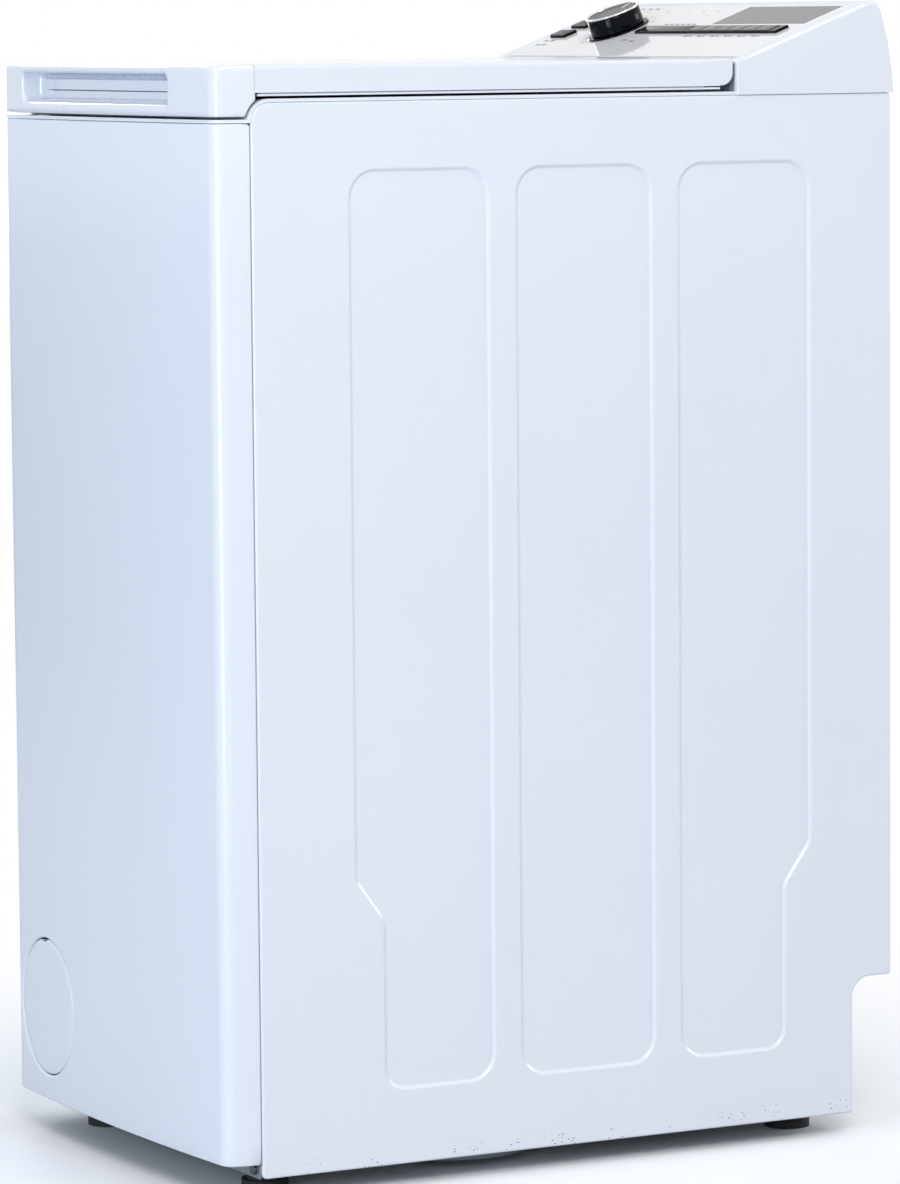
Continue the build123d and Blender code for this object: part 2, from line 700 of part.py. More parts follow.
def make_detergent_tray():
    """Removable detergent tray with three pockets that open towards the lid's front edge."""
    top = liner_bottom - rail_clearance
    half = tray_width / 2
    back = tray_front + tray_length
    tray = box(-half, half, tray_front, back, top - tray_height, top)
    pitch = (tray_width - tray_wall) / 3
    for i in range(3):
        x0 = -half + tray_wall + i * pitch
        tray -= box(
            x0, x0 + pitch - tray_wall, tray_front - 1, back - tray_wall,
            top - tray_height + tray_wall, top - tray_wall
        )
    for sign in (-1, 1):
        flange_box = sorted((sign * half, sign * (half + tray_flange)))
        tray += box(*flange_box, tray_front, back, top - 3, top)
    return tray


def make_lid_lock():
    """Lid lock below the deck, with the slot that the hook enters."""
    x0, x1, y0, y1 = lock_slot
    lock = box(x0 - 12, x1 + 12, y0 - 1, y1 + 8, side_top - 26, side_top)
    return lock - box(x0, x1, y0, y1, side_top - 20, side_top + 1)


# Console

def console_outline():
    """Side outline of the console in (Y, Z)."""
    lean = 15.0
    back_point = (crest_y + crest_radius * cos(radians(lean)), crest_z + crest_radius * sin(radians(lean)))
    edge = Line((console_front, side_top), (console_front, edge_z))
    edge += Line((console_front, edge_z), (slope_y, slope_z))
    edge += ThreePointArc((slope_y, slope_z), (crest_y + crest_radius * sin(radians(20)),
                          crest_z + crest_radius * cos(radians(20))), back_point)
    edge += TangentArc(back_point, (rear_y, side_top), tangent=(sin(radians(lean)), -cos(radians(lean))))
    edge += Line((rear_y, side_top), (console_front, side_top))
    return rounded(make_face(edge), [((console_front, edge_z), 3.5)])


def on_slope(x0, x1, s0, s1, n0, n1):
    """A block given by X, the distance up the slope and the height above the slope's plane."""
    return slope * box(x0, x1, s0, s1, n0, n1)


def slope_rod(x, s, n0, n1, radius):
    """A round rod square to the slope."""
    return slope * rod_z(n0, n1, x, s, radius)


def make_console_housing():
    """Console housing: a hollow moulding with a window for the fascia."""
    outline = console_outline()
    housing = prism_x(outline, -half_width, half_width)
    inside = half_width - console_wall
    hollow = prism_x(offset(outline, -console_wall), -inside, inside)
    back = rear_y - console_wall - 1.2
    hollow += box(-inside, inside, console_front + console_wall, back, side_top - 1, side_top + 9)
    housing -= hollow
    housing -= box(-inside, inside, console_front - 1, side_rear, side_top - 1, deck_top)
    window = fascia_half_width + fascia_clearance
    return housing - on_slope(-window, window, fascia_start, fascia_end + fascia_clearance, -4, 1)


def make_fascia():
    """Glossy fascia plate with wells for the buttons, seats and holes for what stands on it."""
    bottom = face - fascia_sheet
    plate = on_slope(
        -fascia_half_width, fascia_half_width, fascia_start + fascia_clearance, fascia_end, bottom, face
    )
    for x in (-120.0, fascia_half_width - 21):
        for s in (35.0, 100.0):
            plate += slope_rod(x, s, face - board_drop, bottom + 0.1, 3)
    for start in button_starts:
        reach = button_width / 2 + key_gap
        plate -= on_slope(
            button_x - reach, button_x + reach, start - key_gap, start + button_depth + key_gap,
            face - button_travel - 0.4, face + 1
        )
        plate -= slope_rod(button_x, start + button_depth / 2, bottom - 1, face, stem_radius + 0.3)
    for x in key_centres():
        plate -= slope_rod(x, bar_start + bar_depth / 2, bottom - 1, face + 1, stem_radius + 0.3)
    x0, x1, s0, s1 = display_box
    plate -= on_slope(x0, x1, s0, s1, face - 1.5, face + 1)
    plate -= slope_rod(*knob_place, bottom - 1, face + 1, shaft_radius + 0.4)
    for x, s in lamp_places:
        plate -= slope_rod(x, s, bottom - 1, face + 1, lamp_radius + 0.05)
    return plate


def key_centres():
    """X of each option key."""
    pitch = key_pitch()
    return [key_zone_left + pitch * (i + 0.5) for i in range(key_count)]


def key_pitch():
    return (key_zone_right - key_zone_left) / key_count


def make_key_bar():
    """Raised black bar that frames the option keys."""
    bar_end = bar_start + bar_depth
    bar = on_slope(bar_left, bar_right, bar_start, bar_end, face, face + bar_height)
    bar -= on_slope(
        key_zone_left, key_zone_right, bar_start + 1, bar_end - 1, face + 0.5, face + bar_height + 1
    )
    for x in key_centres():
        bar -= slope_rod(x, bar_start + bar_depth / 2, face - 1, face + 1, stem_radius + 0.3)
    return bar


def make_option_key(x):
    """One option key with its stem."""
    half = key_pitch() / 2 - key_gap
    low = face + 0.5 + key_travel + 0.3
    s0 = bar_start + 1 + key_gap
    s1 = bar_start + bar_depth - 1 - key_gap
    key = on_slope(x - half, x + half, s0, s1, low, face + bar_height + 0.3)
    return key + slope_rod(x, bar_start + bar_depth / 2, stem_end, low, stem_radius)


def make_button(start):
    """Power or start button with its stem."""
    low = face
    x0 = button_x - button_width / 2
    button = on_slope(x0, x0 + button_width, start, start + button_depth, low, face + 2.4)
    return button + slope_rod(button_x, start + button_depth / 2, stem_end, low, stem_radius)


def make_display():
    """Smoked display window, flush with the fascia."""
    x0, x1, s0, s1 = display_box
    return on_slope(x0 + 0.1, x1 - 0.1, s0 + 0.1, s1 - 0.1, face - 1.5, face)


def make_knob_bezel():
    """Black ring on the fascia round the knob's foot."""
    x, s = knob_place
    return slope_rod(x, s, face, face + 1.6, bezel_radius) - slope_rod(x, s, face - 1, face + 3, 8)


def make_knob():
    """Program knob: a round body with its shaft."""
    x, s = knob_place
    body = slope_rod(x, s, face + 2.1, knob_height - 1.8, knob_radius - 0.3)
    return body + slope_rod(x, s, face - 12, face + 2.1, shaft_radius)


def make_knob_cap():
    """Cap set on the knob: a bright ring round a dark dished face with a raised pointer."""
    x, s = knob_place
    low = knob_height - 1.8
    cap = slope_rod(x, s, low, knob_height, knob_radius)
    cap -= slope_rod(x, s, low + 0.9, knob_height + 1, knob_radius - 1.8)
    return cap + on_slope(x - 1, x + 1, s + 6, s + 19, low + 0.9, low + 1.5)


def make_control_board():
    """Control board: a switch below each stem, the knob's selector and a light guide for each lamp."""
    top = face - board_drop
    reach = fascia_half_width - 2
    board = on_slope(-reach, reach, 28, 116, top - board_sheet, top)
    x, s = knob_place
    selector = on_slope(x - 12, x + 12, s - 12, s + 12, top, face - 6)
    board += selector
    board -= slope_rod(x, s, face - 13, face, shaft_radius + thread_gap)
    switches = [(key, bar_start + bar_depth / 2) for key in key_centres()]
    switches += [(button_x, start + button_depth / 2) for start in button_starts]
    for key, s in switches:
        board += on_slope(key - 3, key + 3, s - 3, s + 3, top, stem_end - button_travel - 0.3)
    board += on_slope(60, 110, 98, 108, top, top + 6)
    for x, s in lamp_places:
        board += slope_rod(x, s, top - 0.1, face, lamp_radius)
    return board


# Drum, flaps, tub and drive, each built round the X axis and then placed on the drum axis

def knuckle_span(x):
    """The X range of the hinge barrel centred at x."""
    return x - knuckle_length / 2, x + knuckle_length / 2


def hinge_rod(x0, x1, sign, radius):
    """A rod along the pin axis of the front flap, sign -1, or the rear flap, sign 1."""
    return rod_x(x0, x1, *around_x(pin_reach, sign * pin_angle), radius)


def make_drum_shell():
    """Drum skin with the loading opening and the fixed hinge barrels, whose tabs stay in the skin."""
    shell = ring_x(drum_radius - drum_sheet, drum_radius, -drum_half, drum_half)
    edge_angle = pin_angle + degrees((knuckle_radius + 0.8) / drum_radius)
    half = flap_length / 2 + 2
    inner = drum_radius - 20
    outer = drum_radius + 20
    opening = arc_plate(inner, outer, -edge_angle, edge_angle, -half, half)
    for sign in (-1, 1):
        low, high = sorted((sign * pin_angle, sign * (edge_angle + 1)))
        for x in (-fixed_knuckle, fixed_knuckle):
            opening -= arc_plate(inner - 1, outer + 1, low, high, *knuckle_span(x))
    shell -= opening
    for sign in (-1, 1):
        for x in (-fixed_knuckle, fixed_knuckle):
            shell += hinge_rod(*knuckle_span(x), sign, knuckle_radius)
            shell -= hinge_rod(*knuckle_span(x), sign, flap_pin_radius)
    return drum_axis * shell


def make_flap(sign):
    """One drum flap with its two hinge barrels; sign is -1 for the front flap and 1 for the rear one."""
    free_edge = degrees(0.3 / drum_radius)
    hinge_edge = pin_angle - degrees((knuckle_radius + 0.6) / drum_radius)
    half = flap_length / 2
    inner = drum_radius - drum_sheet
    low, high = sorted((sign * free_edge, sign * hinge_edge))
    flap = arc_plate(inner, drum_radius, low, high, -half, half)
    low, high = sorted((sign * free_edge, sign * degrees(lip_width / drum_radius)))
    flap += arc_plate(drum_radius - flap_lip, inner, low, high, -half, half)
    low, high = sorted((sign * (hinge_edge - 1), sign * pin_angle))
    for x in (-moving_knuckle, moving_knuckle):
        flap += arc_plate(inner, drum_radius, low, high, *knuckle_span(x))
        flap += hinge_rod(*knuckle_span(x), sign, knuckle_radius)
        flap -= hinge_rod(*knuckle_span(x), sign, flap_pin_radius + thread_gap)
    if sign < 0:
        hole = rod_z(drum_radius - 20, drum_radius + 20, 0, 0, latch_radius + 0.3)
        flap -= Rot(latch_angle, 0, 0) * hole
    return drum_axis * flap


def make_flap_latch():
    """Push button that locks the front flap, standing in a hole of it."""
    foot = drum_radius - flap_lip - latch_travel
    button = rod_z(foot, drum_radius + 1, 0, 0, latch_radius)
    button += rod_z(foot - 2, foot, 0, 0, latch_radius + 3)
    return drum_axis * Rot(latch_angle, 0, 0) * button


def make_flap_pins():
    """The pins of both flaps."""
    reach = fixed_knuckle + knuckle_length / 2
    return group(*[drum_axis * hinge_rod(-reach, reach, sign, flap_pin_radius) for sign in (-1, 1)])


def make_drum_ends():
    """Pressed end plates of the drum, each with a raised ring."""
    end = ring_x(hub_radius - 30, drum_radius - drum_sheet, drum_half - 1.2, drum_half)
    end += ring_x(hub_radius + 40, hub_radius + 48, drum_half, drum_half + 4)
    end -= ring_x(hub_radius + 41.2, hub_radius + 46.8, drum_half - 1.2, drum_half + 2.8)
    return mirrored_pair(drum_axis * end)


def make_drum_shafts():
    """Cast hubs with three arms and steel stubs; the left stub carries the pulley."""
    pieces = []
    for sign, reach in ((1, hub_end + 4), (-1, pulley_end + 2)):
        hub = rod_x(drum_half, drum_half + hub_sheet, 0, 0, hub_radius - 32)
        for i in range(3):
            arm = box(drum_half + 4.2, drum_half + hub_sheet + 1, -14, 14, 20, drum_radius - 25)
            arm += box(drum_half, drum_half + hub_sheet, -14, 14, 20, hub_radius + 38)
            hub += Rot(120 * i, 0, 0) * arm
        hub += rod_x(drum_half, reach, 0, 0, axle_radius)
        pieces.append(drum_axis * (hub if sign > 0 else mirror(hub, about=Plane.YZ)))
    return group(*pieces)


def make_lifters():
    """Three moulded lifters inside the drum, clear of the flaps."""
    lifters = []
    inner = drum_radius - drum_sheet
    foot = -inner + 1
    crest = -inner + 42
    outline = make_face(Polyline((-34, foot), (-12, crest), (12, crest), (34, foot), close=True))
    for angle in (-62, 0, 62):
        wedge = prism_x(outline, -drum_half + 3, drum_half - 3)
        wedge &= rod_x(-drum_half, drum_half, 0, 0, inner - 0.1)
        lifters.append(drum_axis * Rot(angle, 0, 0) * wedge)
    return group(*lifters)


def make_drum_pulley():
    """Spoked pulley on the left stub."""
    rim = ring_x(pulley_radius - 8, pulley_radius, -pulley_end, -pulley_start)
    hub = ring_x(axle_radius, 24, -pulley_end, -pulley_start)
    spoke = box(-pulley_end + 3, -pulley_start - 3, -9, 9, 22, pulley_radius - 6)
    return drum_axis * rim.fuse(hub, *[Rot(60 * i, 0, 0) * spoke for i in range(6)])


def make_tub_shell():
    """Tub: a round shell with the neck towards the lid, the sump and the motor lugs."""
    to_axis = Pos(0, -axis_y, 0)
    inside = tub_inner / 2
    tub = rod_x(-tub_half, tub_half, 0, 0, tub_outer)
    tub += to_axis * prism_z(mouth_outline(neck_wall), inside, neck_top)
    sump_wall = 3
    tub += box(
        -sump_x - sump_wall, sump_x + sump_wall, -sump_y - sump_wall, sump_y + sump_wall,
        -sump_drop - sump_wall, -inside
    )
    for x in motor_lugs:
        tub += box(x, x + motor_lug_width, motor_setback - 15, motor_setback + 15, motor_lug_z, -inside)
    tub += rod_z(-sump_drop - spout_length, -sump_drop, spout_x, 0, spout_radius)
    tub -= rod_x(-tub_half, tub_half, 0, 0, tub_inner)
    tub -= to_axis * prism_z(mouth_outline(0), 0, neck_top + 1)
    tub -= box(-sump_x, sump_x, -sump_y, sump_y, -sump_drop, -inside)
    tub -= rod_z(-sump_drop - spout_length - 1, -sump_drop + 1, spout_x, 0, hose_bore)
    tub -= rod_x(sump_x - 1, sump_x + 5, 0, heater_z, heater_plug + bolt_gap)
    return drum_axis * tub


def make_tub_side():
    """Right side of the tub: a ribbed disc with the bearing seat and lugs for springs and damper."""
    seat = bearing_outer + 12
    side = ring_x(20, tub_outer, tub_half, tub_side)
    side += ring_x(bearing_outer, seat, tub_side, hub_end)
    side += ring_x(20, seat, tub_side, bearing_start)
    rib = box(tub_side, tub_side + 8, -2, 2, seat - 4, tub_outer - 3)
    side = side.fuse(*[Rot(30 * i, 0, 0) * rib for i in range(12)])
    for y in (-spring_spread, spring_spread):
        side += box(tub_side, hanger_x + 8, y - 9, y + 9, lug_height - 5, lug_height)
    low = damper_inset - tub_outer
    side += box(tub_side, damper_x + 8, -damper_setback - 11, -damper_setback + 11, low, low + 6)
    return drum_axis * side


def make_bearings():
    """Ball bearings on both sides, drawn as closed rings."""
    ring = ring_x(bearing_inner, bearing_outer, bearing_start, bearing_start + bearing_width)
    return mirrored_pair(drum_axis * ring)


def make_bellows():
    """Folded rubber sleeve between the tub's neck and the deck's collar."""
    low = axis_z + neck_top
    high = side_top - collar_depth
    sleeve_low = axis_z + tub_outer + 0.3
    sleeve_high = high + collar_depth - 3
    inner = neck_wall + 0.2
    outer = inner + bellows_wall
    tube = prism_z(mouth_outline(outer), sleeve_low, sleeve_high)
    count = 3
    pitch = (high - low - 8) / count
    for i in range(count):
        z0 = low + 4 + pitch * i
        tube += prism_z(mouth_outline(outer + bellows_fold), z0 + 4, z0 + pitch - 4)
    tube -= prism_z(mouth_outline(inner), sleeve_low - 1, sleeve_high + 1)
    fold_inside = mouth_outline(inner + bellows_fold)
    for i in range(count):
        z0 = low + 4 + pitch * i
        tube -= prism_z(fold_inside, z0 + 4 + bellows_wall, z0 + pitch - 4 - bellows_wall)
    return tube


def make_counterweights():
    """Cast counterweights on the tub, one high at the rear and one low at the front."""
    rear = arc_plate(tub_outer + 0.2, tub_outer + 30, 52, 80, -100, 100)
    front = arc_plate(tub_outer + 0.2, tub_outer + 22, 222, 248, -100, 100)
    return group(drum_axis * rear, drum_axis * front)


def spring_places():
    """Y of the two springs on each side."""
    return (axis_y - spring_spread, axis_y + spring_spread)


def make_springs():
    """Four coil springs from the side panels' hangers to the tub's lugs, with straight end hooks."""
    low = axis_z + lug_height
    high = hanger_z - hanger_sheet
    coil_low = low + 22
    coil_high = high - 22
    turns = 12
    path = Helix(pitch=(coil_high - coil_low) / turns, height=coil_high - coil_low, radius=spring_radius)
    start = path @ 0
    section = Plane(origin=start, z_dir=path % 0) * Circle(wire_radius)
    coil = Pos(0, 0, coil_low) * sweep(section, path=path, is_frenet=True)
    spring = coil
    for start, end, turn in ((low, coil_low, coil_low), (coil_high, high, coil_high)):
        spring += rod_z(start, end, 0, 0, wire_radius)
        spring += rod_x(0, spring_radius, 0, turn, wire_radius)
    return group(*[Pos(x, y, 0) * spring for y in spring_places() for x in (-hanger_x, hanger_x)])


def make_dampers():
    """Two friction dampers from the base tray to the tub's lower lugs."""
    tube_top = damper_low + damper_tube
    tube = rod_z(damper_low, tube_top, damper_x, damper_y, damper_radius)
    rod = rod_z(tube_top, damper_top, damper_x, damper_y, damper_radius / 2)
    return mirrored_pair(tube + rod)


def make_motor_body():
    """Motor casing with cooling ribs and two ears that hang it from the tub."""
    y, z = motor_place
    left = -motor_right_end
    body = rod_x(left, left + motor_length, y, z, motor_radius)
    for i in range(5):
        x = left + 20 + i * 25
        body += rod_x(x, x + 6, y, z, motor_radius + 3)
    for x in motor_lugs:
        body += box(x, x + motor_lug_width, y - 15, y + 15, z, axis_z + motor_lug_z)
    return body - rod_x(left - 1, left + motor_length - 10, y, z, rotor_radius + thread_gap)


def make_motor_rotor():
    """Motor shaft with the small belt pulley."""
    y, z = motor_place
    left = -motor_right_end
    shaft = rod_x(-pulley_end - 2, left + motor_length - 12, y, z, rotor_radius)
    pulley = rod_x(-pulley_end, -pulley_start, y, z, motor_pulley_radius)
    for x in (-pulley_end - 1.5, -pulley_start):
        pulley += rod_x(x, x + 1.5, y, z, motor_pulley_radius + 4)
    return shaft + pulley


def belt_outline(grow):
    """Closed outline round both pulleys, grown outwards."""
    big = pulley_radius + grow
    small = motor_pulley_radius + grow
    y0, z0 = axis_y, axis_z
    y1, z1 = motor_place
    span = hypot(y1 - y0, z1 - z0)
    heading = atan2(z1 - z0, y1 - y0)
    lean = atan2(sqrt(span**2 - (big - small)**2), big - small)
    points = []
    for sign in (1, -1):
        turn = heading + sign * lean
        on_big = (y0 + big * cos(turn), z0 + big * sin(turn))
        on_small = (y1 + small * cos(turn), z1 + small * sin(turn))
        points.append((on_big, on_small))
    far_big = (y0 - big * cos(heading), z0 - big * sin(heading))
    far_small = (y1 + small * cos(heading), z1 + small * sin(heading))
    edge = Line(points[0][0], points[0][1]) + ThreePointArc(points[0][1], far_small, points[1][1])
    edge += Line(points[1][1], points[1][0]) + ThreePointArc(points[1][0], far_big, points[0][0])
    return make_face(edge)


def make_drive_belt():
    """Belt from the motor pulley to the drum pulley."""
    x0 = -pulley_end + 1
    x1 = -pulley_start - 1
    belt = prism_x(belt_outline(belt_clearance + belt_thickness), x0, x1)
    return belt - prism_x(belt_outline(belt_clearance), x0 - 1, x1 + 1)


def make_heater():
    """Heating element in the sump: a bent rod in a sealing plug."""
    z = axis_z + heater_z
    plug = rod_x(sump_x - 6, sump_x + 8, axis_y, z, heater_plug)
    rods = [rod_x(-70, sump_x - 5, axis_y + side, z, 3) for side in (-7, 7)]
    bend = rod_y(axis_y - 7, axis_y + 7, -70, z, 3)
    return plug.fuse(bend, *rods)


def make_drain_pump():
    """Drain pump with its filter housing, open at the front, and its foot on the crossbar."""
    x, z = cover_place
    housing = rod_y(pump_front, pump_front + 95, x, z, filter_housing_radius)
    housing += rod_y(pump_front + 95, pump_front + 140, x, z, filter_housing_radius - 6)
    housing += rod_y(pump_front - 3, pump_front, x, z, cover_radius - 4.4)
    housing += rod_x(x, pump_inlet, pump_front + inlet_setback, z, spout_radius)
    housing += box(x - 12, x + 12, pump_front + 20, pump_front + 90, crossbar_top, z)
    housing -= rod_y(pump_front - 1, pump_front + 80, x, z, filter_radius + 0.6)
    housing -= rod_y(pump_front - 4, pump_front + 12, x, z, filter_housing_radius - 3)
    return housing - rod_x(x, pump_inlet + 1, pump_front + inlet_setback, z, hose_bore)


def make_drain_filter():
    """Screw-in drain filter: a grip bar on a disc, with a slotted cup behind."""
    x, z = cover_place
    disc = rod_y(pump_front + 5, pump_front + 11.5, x, z, filter_housing_radius - 3.5)
    bar = box(x - 26, x + 26, pump_front - 4, pump_front + 5, z - 5, z + 5)
    cup = rod_y(pump_front + 11.5, pump_front + 76, x, z, filter_radius)
    cup -= rod_y(pump_front + 14.5, pump_front + 77, x, z, filter_radius - 2.5)
    slot = Pos(x, 0, z) * box(-4, 4, pump_front + 24, pump_front + 70, 0, filter_radius + 5)
    centre = Pos(x, 0, z)
    for i in range(6):
        cup -= centre * Rot(0, 30 + 60 * i, 0) * centre.inverse() * slot
    return disc + bar + cup


def make_filter_cover():
    """Round pull-off cover, flush with the bowed front, with a collar that grips the pump's flange."""
    x, z = cover_place
    low = z - cover_radius - 5
    high = z + cover_radius + 5
    skin = prism_z(plan_outline(), low, high) - prism_z(offset(plan_outline(), -cover_sheet), low, high)
    skin &= rod_y(front_y - 5, front_y + 12, x, z, cover_radius)
    collar_reach = front_y + cover_sheet + 2
    collar = rod_y(collar_reach, front_y + 15, x, z, cover_radius - 2) - rod_y(
        front_y, front_y + 16, x, z, cover_radius - 4
    )
    return skin + collar


def make_sump_hose():
    """Rubber hose from the tub's sump to the pump."""
    top = axis_z - sump_drop - spout_length
    turn_z = cover_place[1]
    end_y = pump_front + inlet_setback
    corners = [(spout_x, axis_y, top), (spout_x, axis_y, turn_z), (spout_x, end_y, turn_z)]
    route = FilletPolyline(*corners, (pump_inlet, end_y, turn_z), radius=hose_bend)
    section = Plane(origin=(spout_x, axis_y, top), z_dir=(0, 0, -1))
    hose = sweep(section * Circle(hose_bore + 3), path=route)
    return hose - sweep(section * Circle(hose_bore), path=route)


def make_water_valve():
    """Inlet valve on the rear panel, with its threaded spigot."""
    x, z = valve_place
    back = side_rear - sheet
    body = box(x - 16, x + 16, back - 45, back - sheet, z - 20, z + 20)
    spigot = rod_y(back - sheet, back + thread_relief, x, z, spigot_radius - 1.2)
    spigot += rod_y(back + thread_relief, rear_y - 0.5, x, z, spigot_radius)
    spigot -= rod_y(back - sheet + 1, rear_y, x, z, spigot_radius - 4.2)
    return body + spigot + rod_z(z - 38, z - 20, x, back - 25, 7)


def make_cable_gland():
    """Strain relief bush for the mains lead."""
    x, z = gland_place
    back = side_rear - sheet
    bush = rod_y(back - 8, back, x, z, 8) + rod_y(back, back + 4.5, x, z, 11)
    return bush - rod_y(back - 9, back + 6, x, z, 3.6)


def build():
    """Make every node of the machine."""
    side_panel = make_side_panel()
    tub_side = make_tub_side()
    nodes = {
        "side_panel_right": side_panel,
        "side_panel_left": mirror(side_panel, about=Plane.YZ),
        "front_panel": make_front_panel(),
        "rear_panel": make_rear_panel(),
        "crossbars": make_crossbars(),
        "base_tray": make_base_tray(),
        "cabinet_screws": make_screws(),
        "transport_hole_caps": make_caps(),
        "foot_front_right": make_foot(foot_x, front_foot_y),
        "foot_front_left": make_foot(-foot_x, front_foot_y),
        "rear_feet": group(make_foot(foot_x, rear_foot_y), make_foot(-foot_x, rear_foot_y)),
        "top_frame": make_top_frame(),
        "lid_shell": make_lid_shell(),
        "lid_grip": make_lid_grip(),
        "lid_liner": make_lid_liner(),
        "lid_hinge_pins": make_hinge_pins(),
        "lid_lock": make_lid_lock(),
        "detergent_tray": make_detergent_tray(),
        "console_housing": make_console_housing(),
        "console_fascia": make_fascia(),
        "key_bar": make_key_bar(),
        "display_window": make_display(),
        "knob_bezel": make_knob_bezel(),
        "program_knob": make_knob(),
        "knob_cap": make_knob_cap(),
        "control_board": make_control_board(),
        "drum_shell": make_drum_shell(),
        "drum_ends": make_drum_ends(),
        "drum_shafts": make_drum_shafts(),
        "drum_lifters": make_lifters(),
        "drum_pulley": make_drum_pulley(),
        "flap_pins": make_flap_pins(),
        "drum_flap_front": make_flap(-1),
        "drum_flap_rear": make_flap(1),
        "flap_latch": make_flap_latch(),
        "tub_shell": make_tub_shell(),
        "tub_sides": mirrored_pair(tub_side),
        "drum_bearings": make_bearings(),
        "tub_bellows": make_bellows(),
        "counterweights": make_counterweights(),
        "suspension_springs": make_springs(),
        "dampers": make_dampers(),
        "motor_body": make_motor_body(),
        "motor_rotor": make_motor_rotor(),
        "drive_belt": make_drive_belt(),
        "heater": make_heater(),
        "drain_pump": make_drain_pump(),
        "drain_filter": make_drain_filter(),
        "filter_cover": make_filter_cover(),
        "sump_hose": make_sump_hose(),
        "water_valve": make_water_valve(),
        "cable_gland": make_cable_gland(),
    }
    for name, start in zip(("start_button", "power_button"), button_starts):
        nodes[name] = make_button(start)
    for number, x in enumerate(key_centres(), start=1):
        nodes[f"option_key_{number}"] = make_option_key(x)
    return nodes


def write(nodes):
    """Write each node to its own file."""
    os.makedirs("parts", exist_ok=True)
    for name, shape in nodes.items():
        export_step(shape, f"parts/{name}.step")
        print(name, len(shape.solids()))


if __name__ == "__main__":
    write(build())
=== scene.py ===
"""Looks of a slim top load washing machine, built round its packed construction.

Every length is in metres. X runs across the machine, -Y is its front and +Z is up. Pieces are
surfaces worked out with numpy, in place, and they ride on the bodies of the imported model.
"""

import logging
import math
from dataclasses import dataclass, field, replace
from enum import Enum
from functools import cache
from typing import Callable, Sequence

import bmesh
import bpy
import numpy as np
from mathutils import Matrix, Vector
from mathutils.geometry import delaunay_2d_cdt


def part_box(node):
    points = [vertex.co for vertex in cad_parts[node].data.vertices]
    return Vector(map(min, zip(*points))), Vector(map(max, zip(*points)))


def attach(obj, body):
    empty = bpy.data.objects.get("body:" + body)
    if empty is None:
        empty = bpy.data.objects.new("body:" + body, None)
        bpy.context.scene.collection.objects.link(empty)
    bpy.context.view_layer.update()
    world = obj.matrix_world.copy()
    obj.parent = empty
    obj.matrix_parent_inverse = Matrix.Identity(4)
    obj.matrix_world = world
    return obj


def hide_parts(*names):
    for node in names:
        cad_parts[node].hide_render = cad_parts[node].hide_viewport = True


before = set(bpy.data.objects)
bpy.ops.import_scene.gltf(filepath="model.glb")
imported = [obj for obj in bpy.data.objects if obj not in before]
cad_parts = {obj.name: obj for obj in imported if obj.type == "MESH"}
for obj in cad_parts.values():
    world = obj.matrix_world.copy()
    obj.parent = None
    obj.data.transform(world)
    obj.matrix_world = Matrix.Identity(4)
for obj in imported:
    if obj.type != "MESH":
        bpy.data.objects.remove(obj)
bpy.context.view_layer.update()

MM = 0.001
LOG = logging.getLogger("washer")
Array = np.ndarray
Socket = bpy.types.NodeSocket

# The console's face, and its crest: radius, and centre in front of the housing's rear
SLOPE_ANGLE = math.radians(20.5)
CREST_RADIUS = 12 * MM
CREST_BEHIND = 23 * MM

# Profile of the knob's ring in millimetres: out from the knob's radius, up from its top, corner radius
KNOB_RING = ((-2.4, -2.0, 0), (-0.9, -2.0, 0.3), (-0.1, -0.9, 0.5), (-1.0, 0.0, 0.5), (-2.0, -0.7, 0.3),
             (-2.4, -1.2, 0), (-2.4, -2.0, 0))

# Waves in a metre of every finish's slow drift of colour and of its smears
DRIFT = 5.0
SMEAR = 38.0

# Nearness of welded points and of crossing lines in a fill, and a stand-in for zero
WELD = 4e-6
CROSSING = 1e-7
TINY = 1e-12


# Shapes in numpy


def smooth(t: Array) -> Array:
    """Smooth step: 3t^2 - 2t^3, held at 0 and 1 outside its range.

    Args:
        t: Where along the step, 0 to 1.

    Returns:
        The eased values.
    """
    t = np.clip(t, 0.0, 1.0)
    return t * t * (3.0 - 2.0 * t)


def window(x: Array, low: float, high: float, edge: float) -> Array:
    """1 between low and high and 0 outside, eased over a width.

    Args:
        x: Positions.
        low: Where the window opens.
        high: Where it closes.
        edge: Width of each eased side.

    Returns:
        The window's values.
    """
    return smooth((x - low) / edge + 0.5) * smooth((high - x) / edge + 0.5)


def lines(*stops: float, step: Sequence[float]) -> Array:
    """Grid lines through the stops, each stretch divided into equal steps near the wanted size.

    Args:
        stops: Rising or falling positions that the lines pass through.
        step: Wanted step of each stretch.

    Returns:
        All positions in order.
    """
    parts = [np.array(stops[:1])]
    for a, b, size in zip(stops[:-1], stops[1:], step):
        count = max(1, round(abs(b - a) / size))
        parts.append(np.linspace(a, b, count + 1)[1:])
    return np.concatenate(parts)


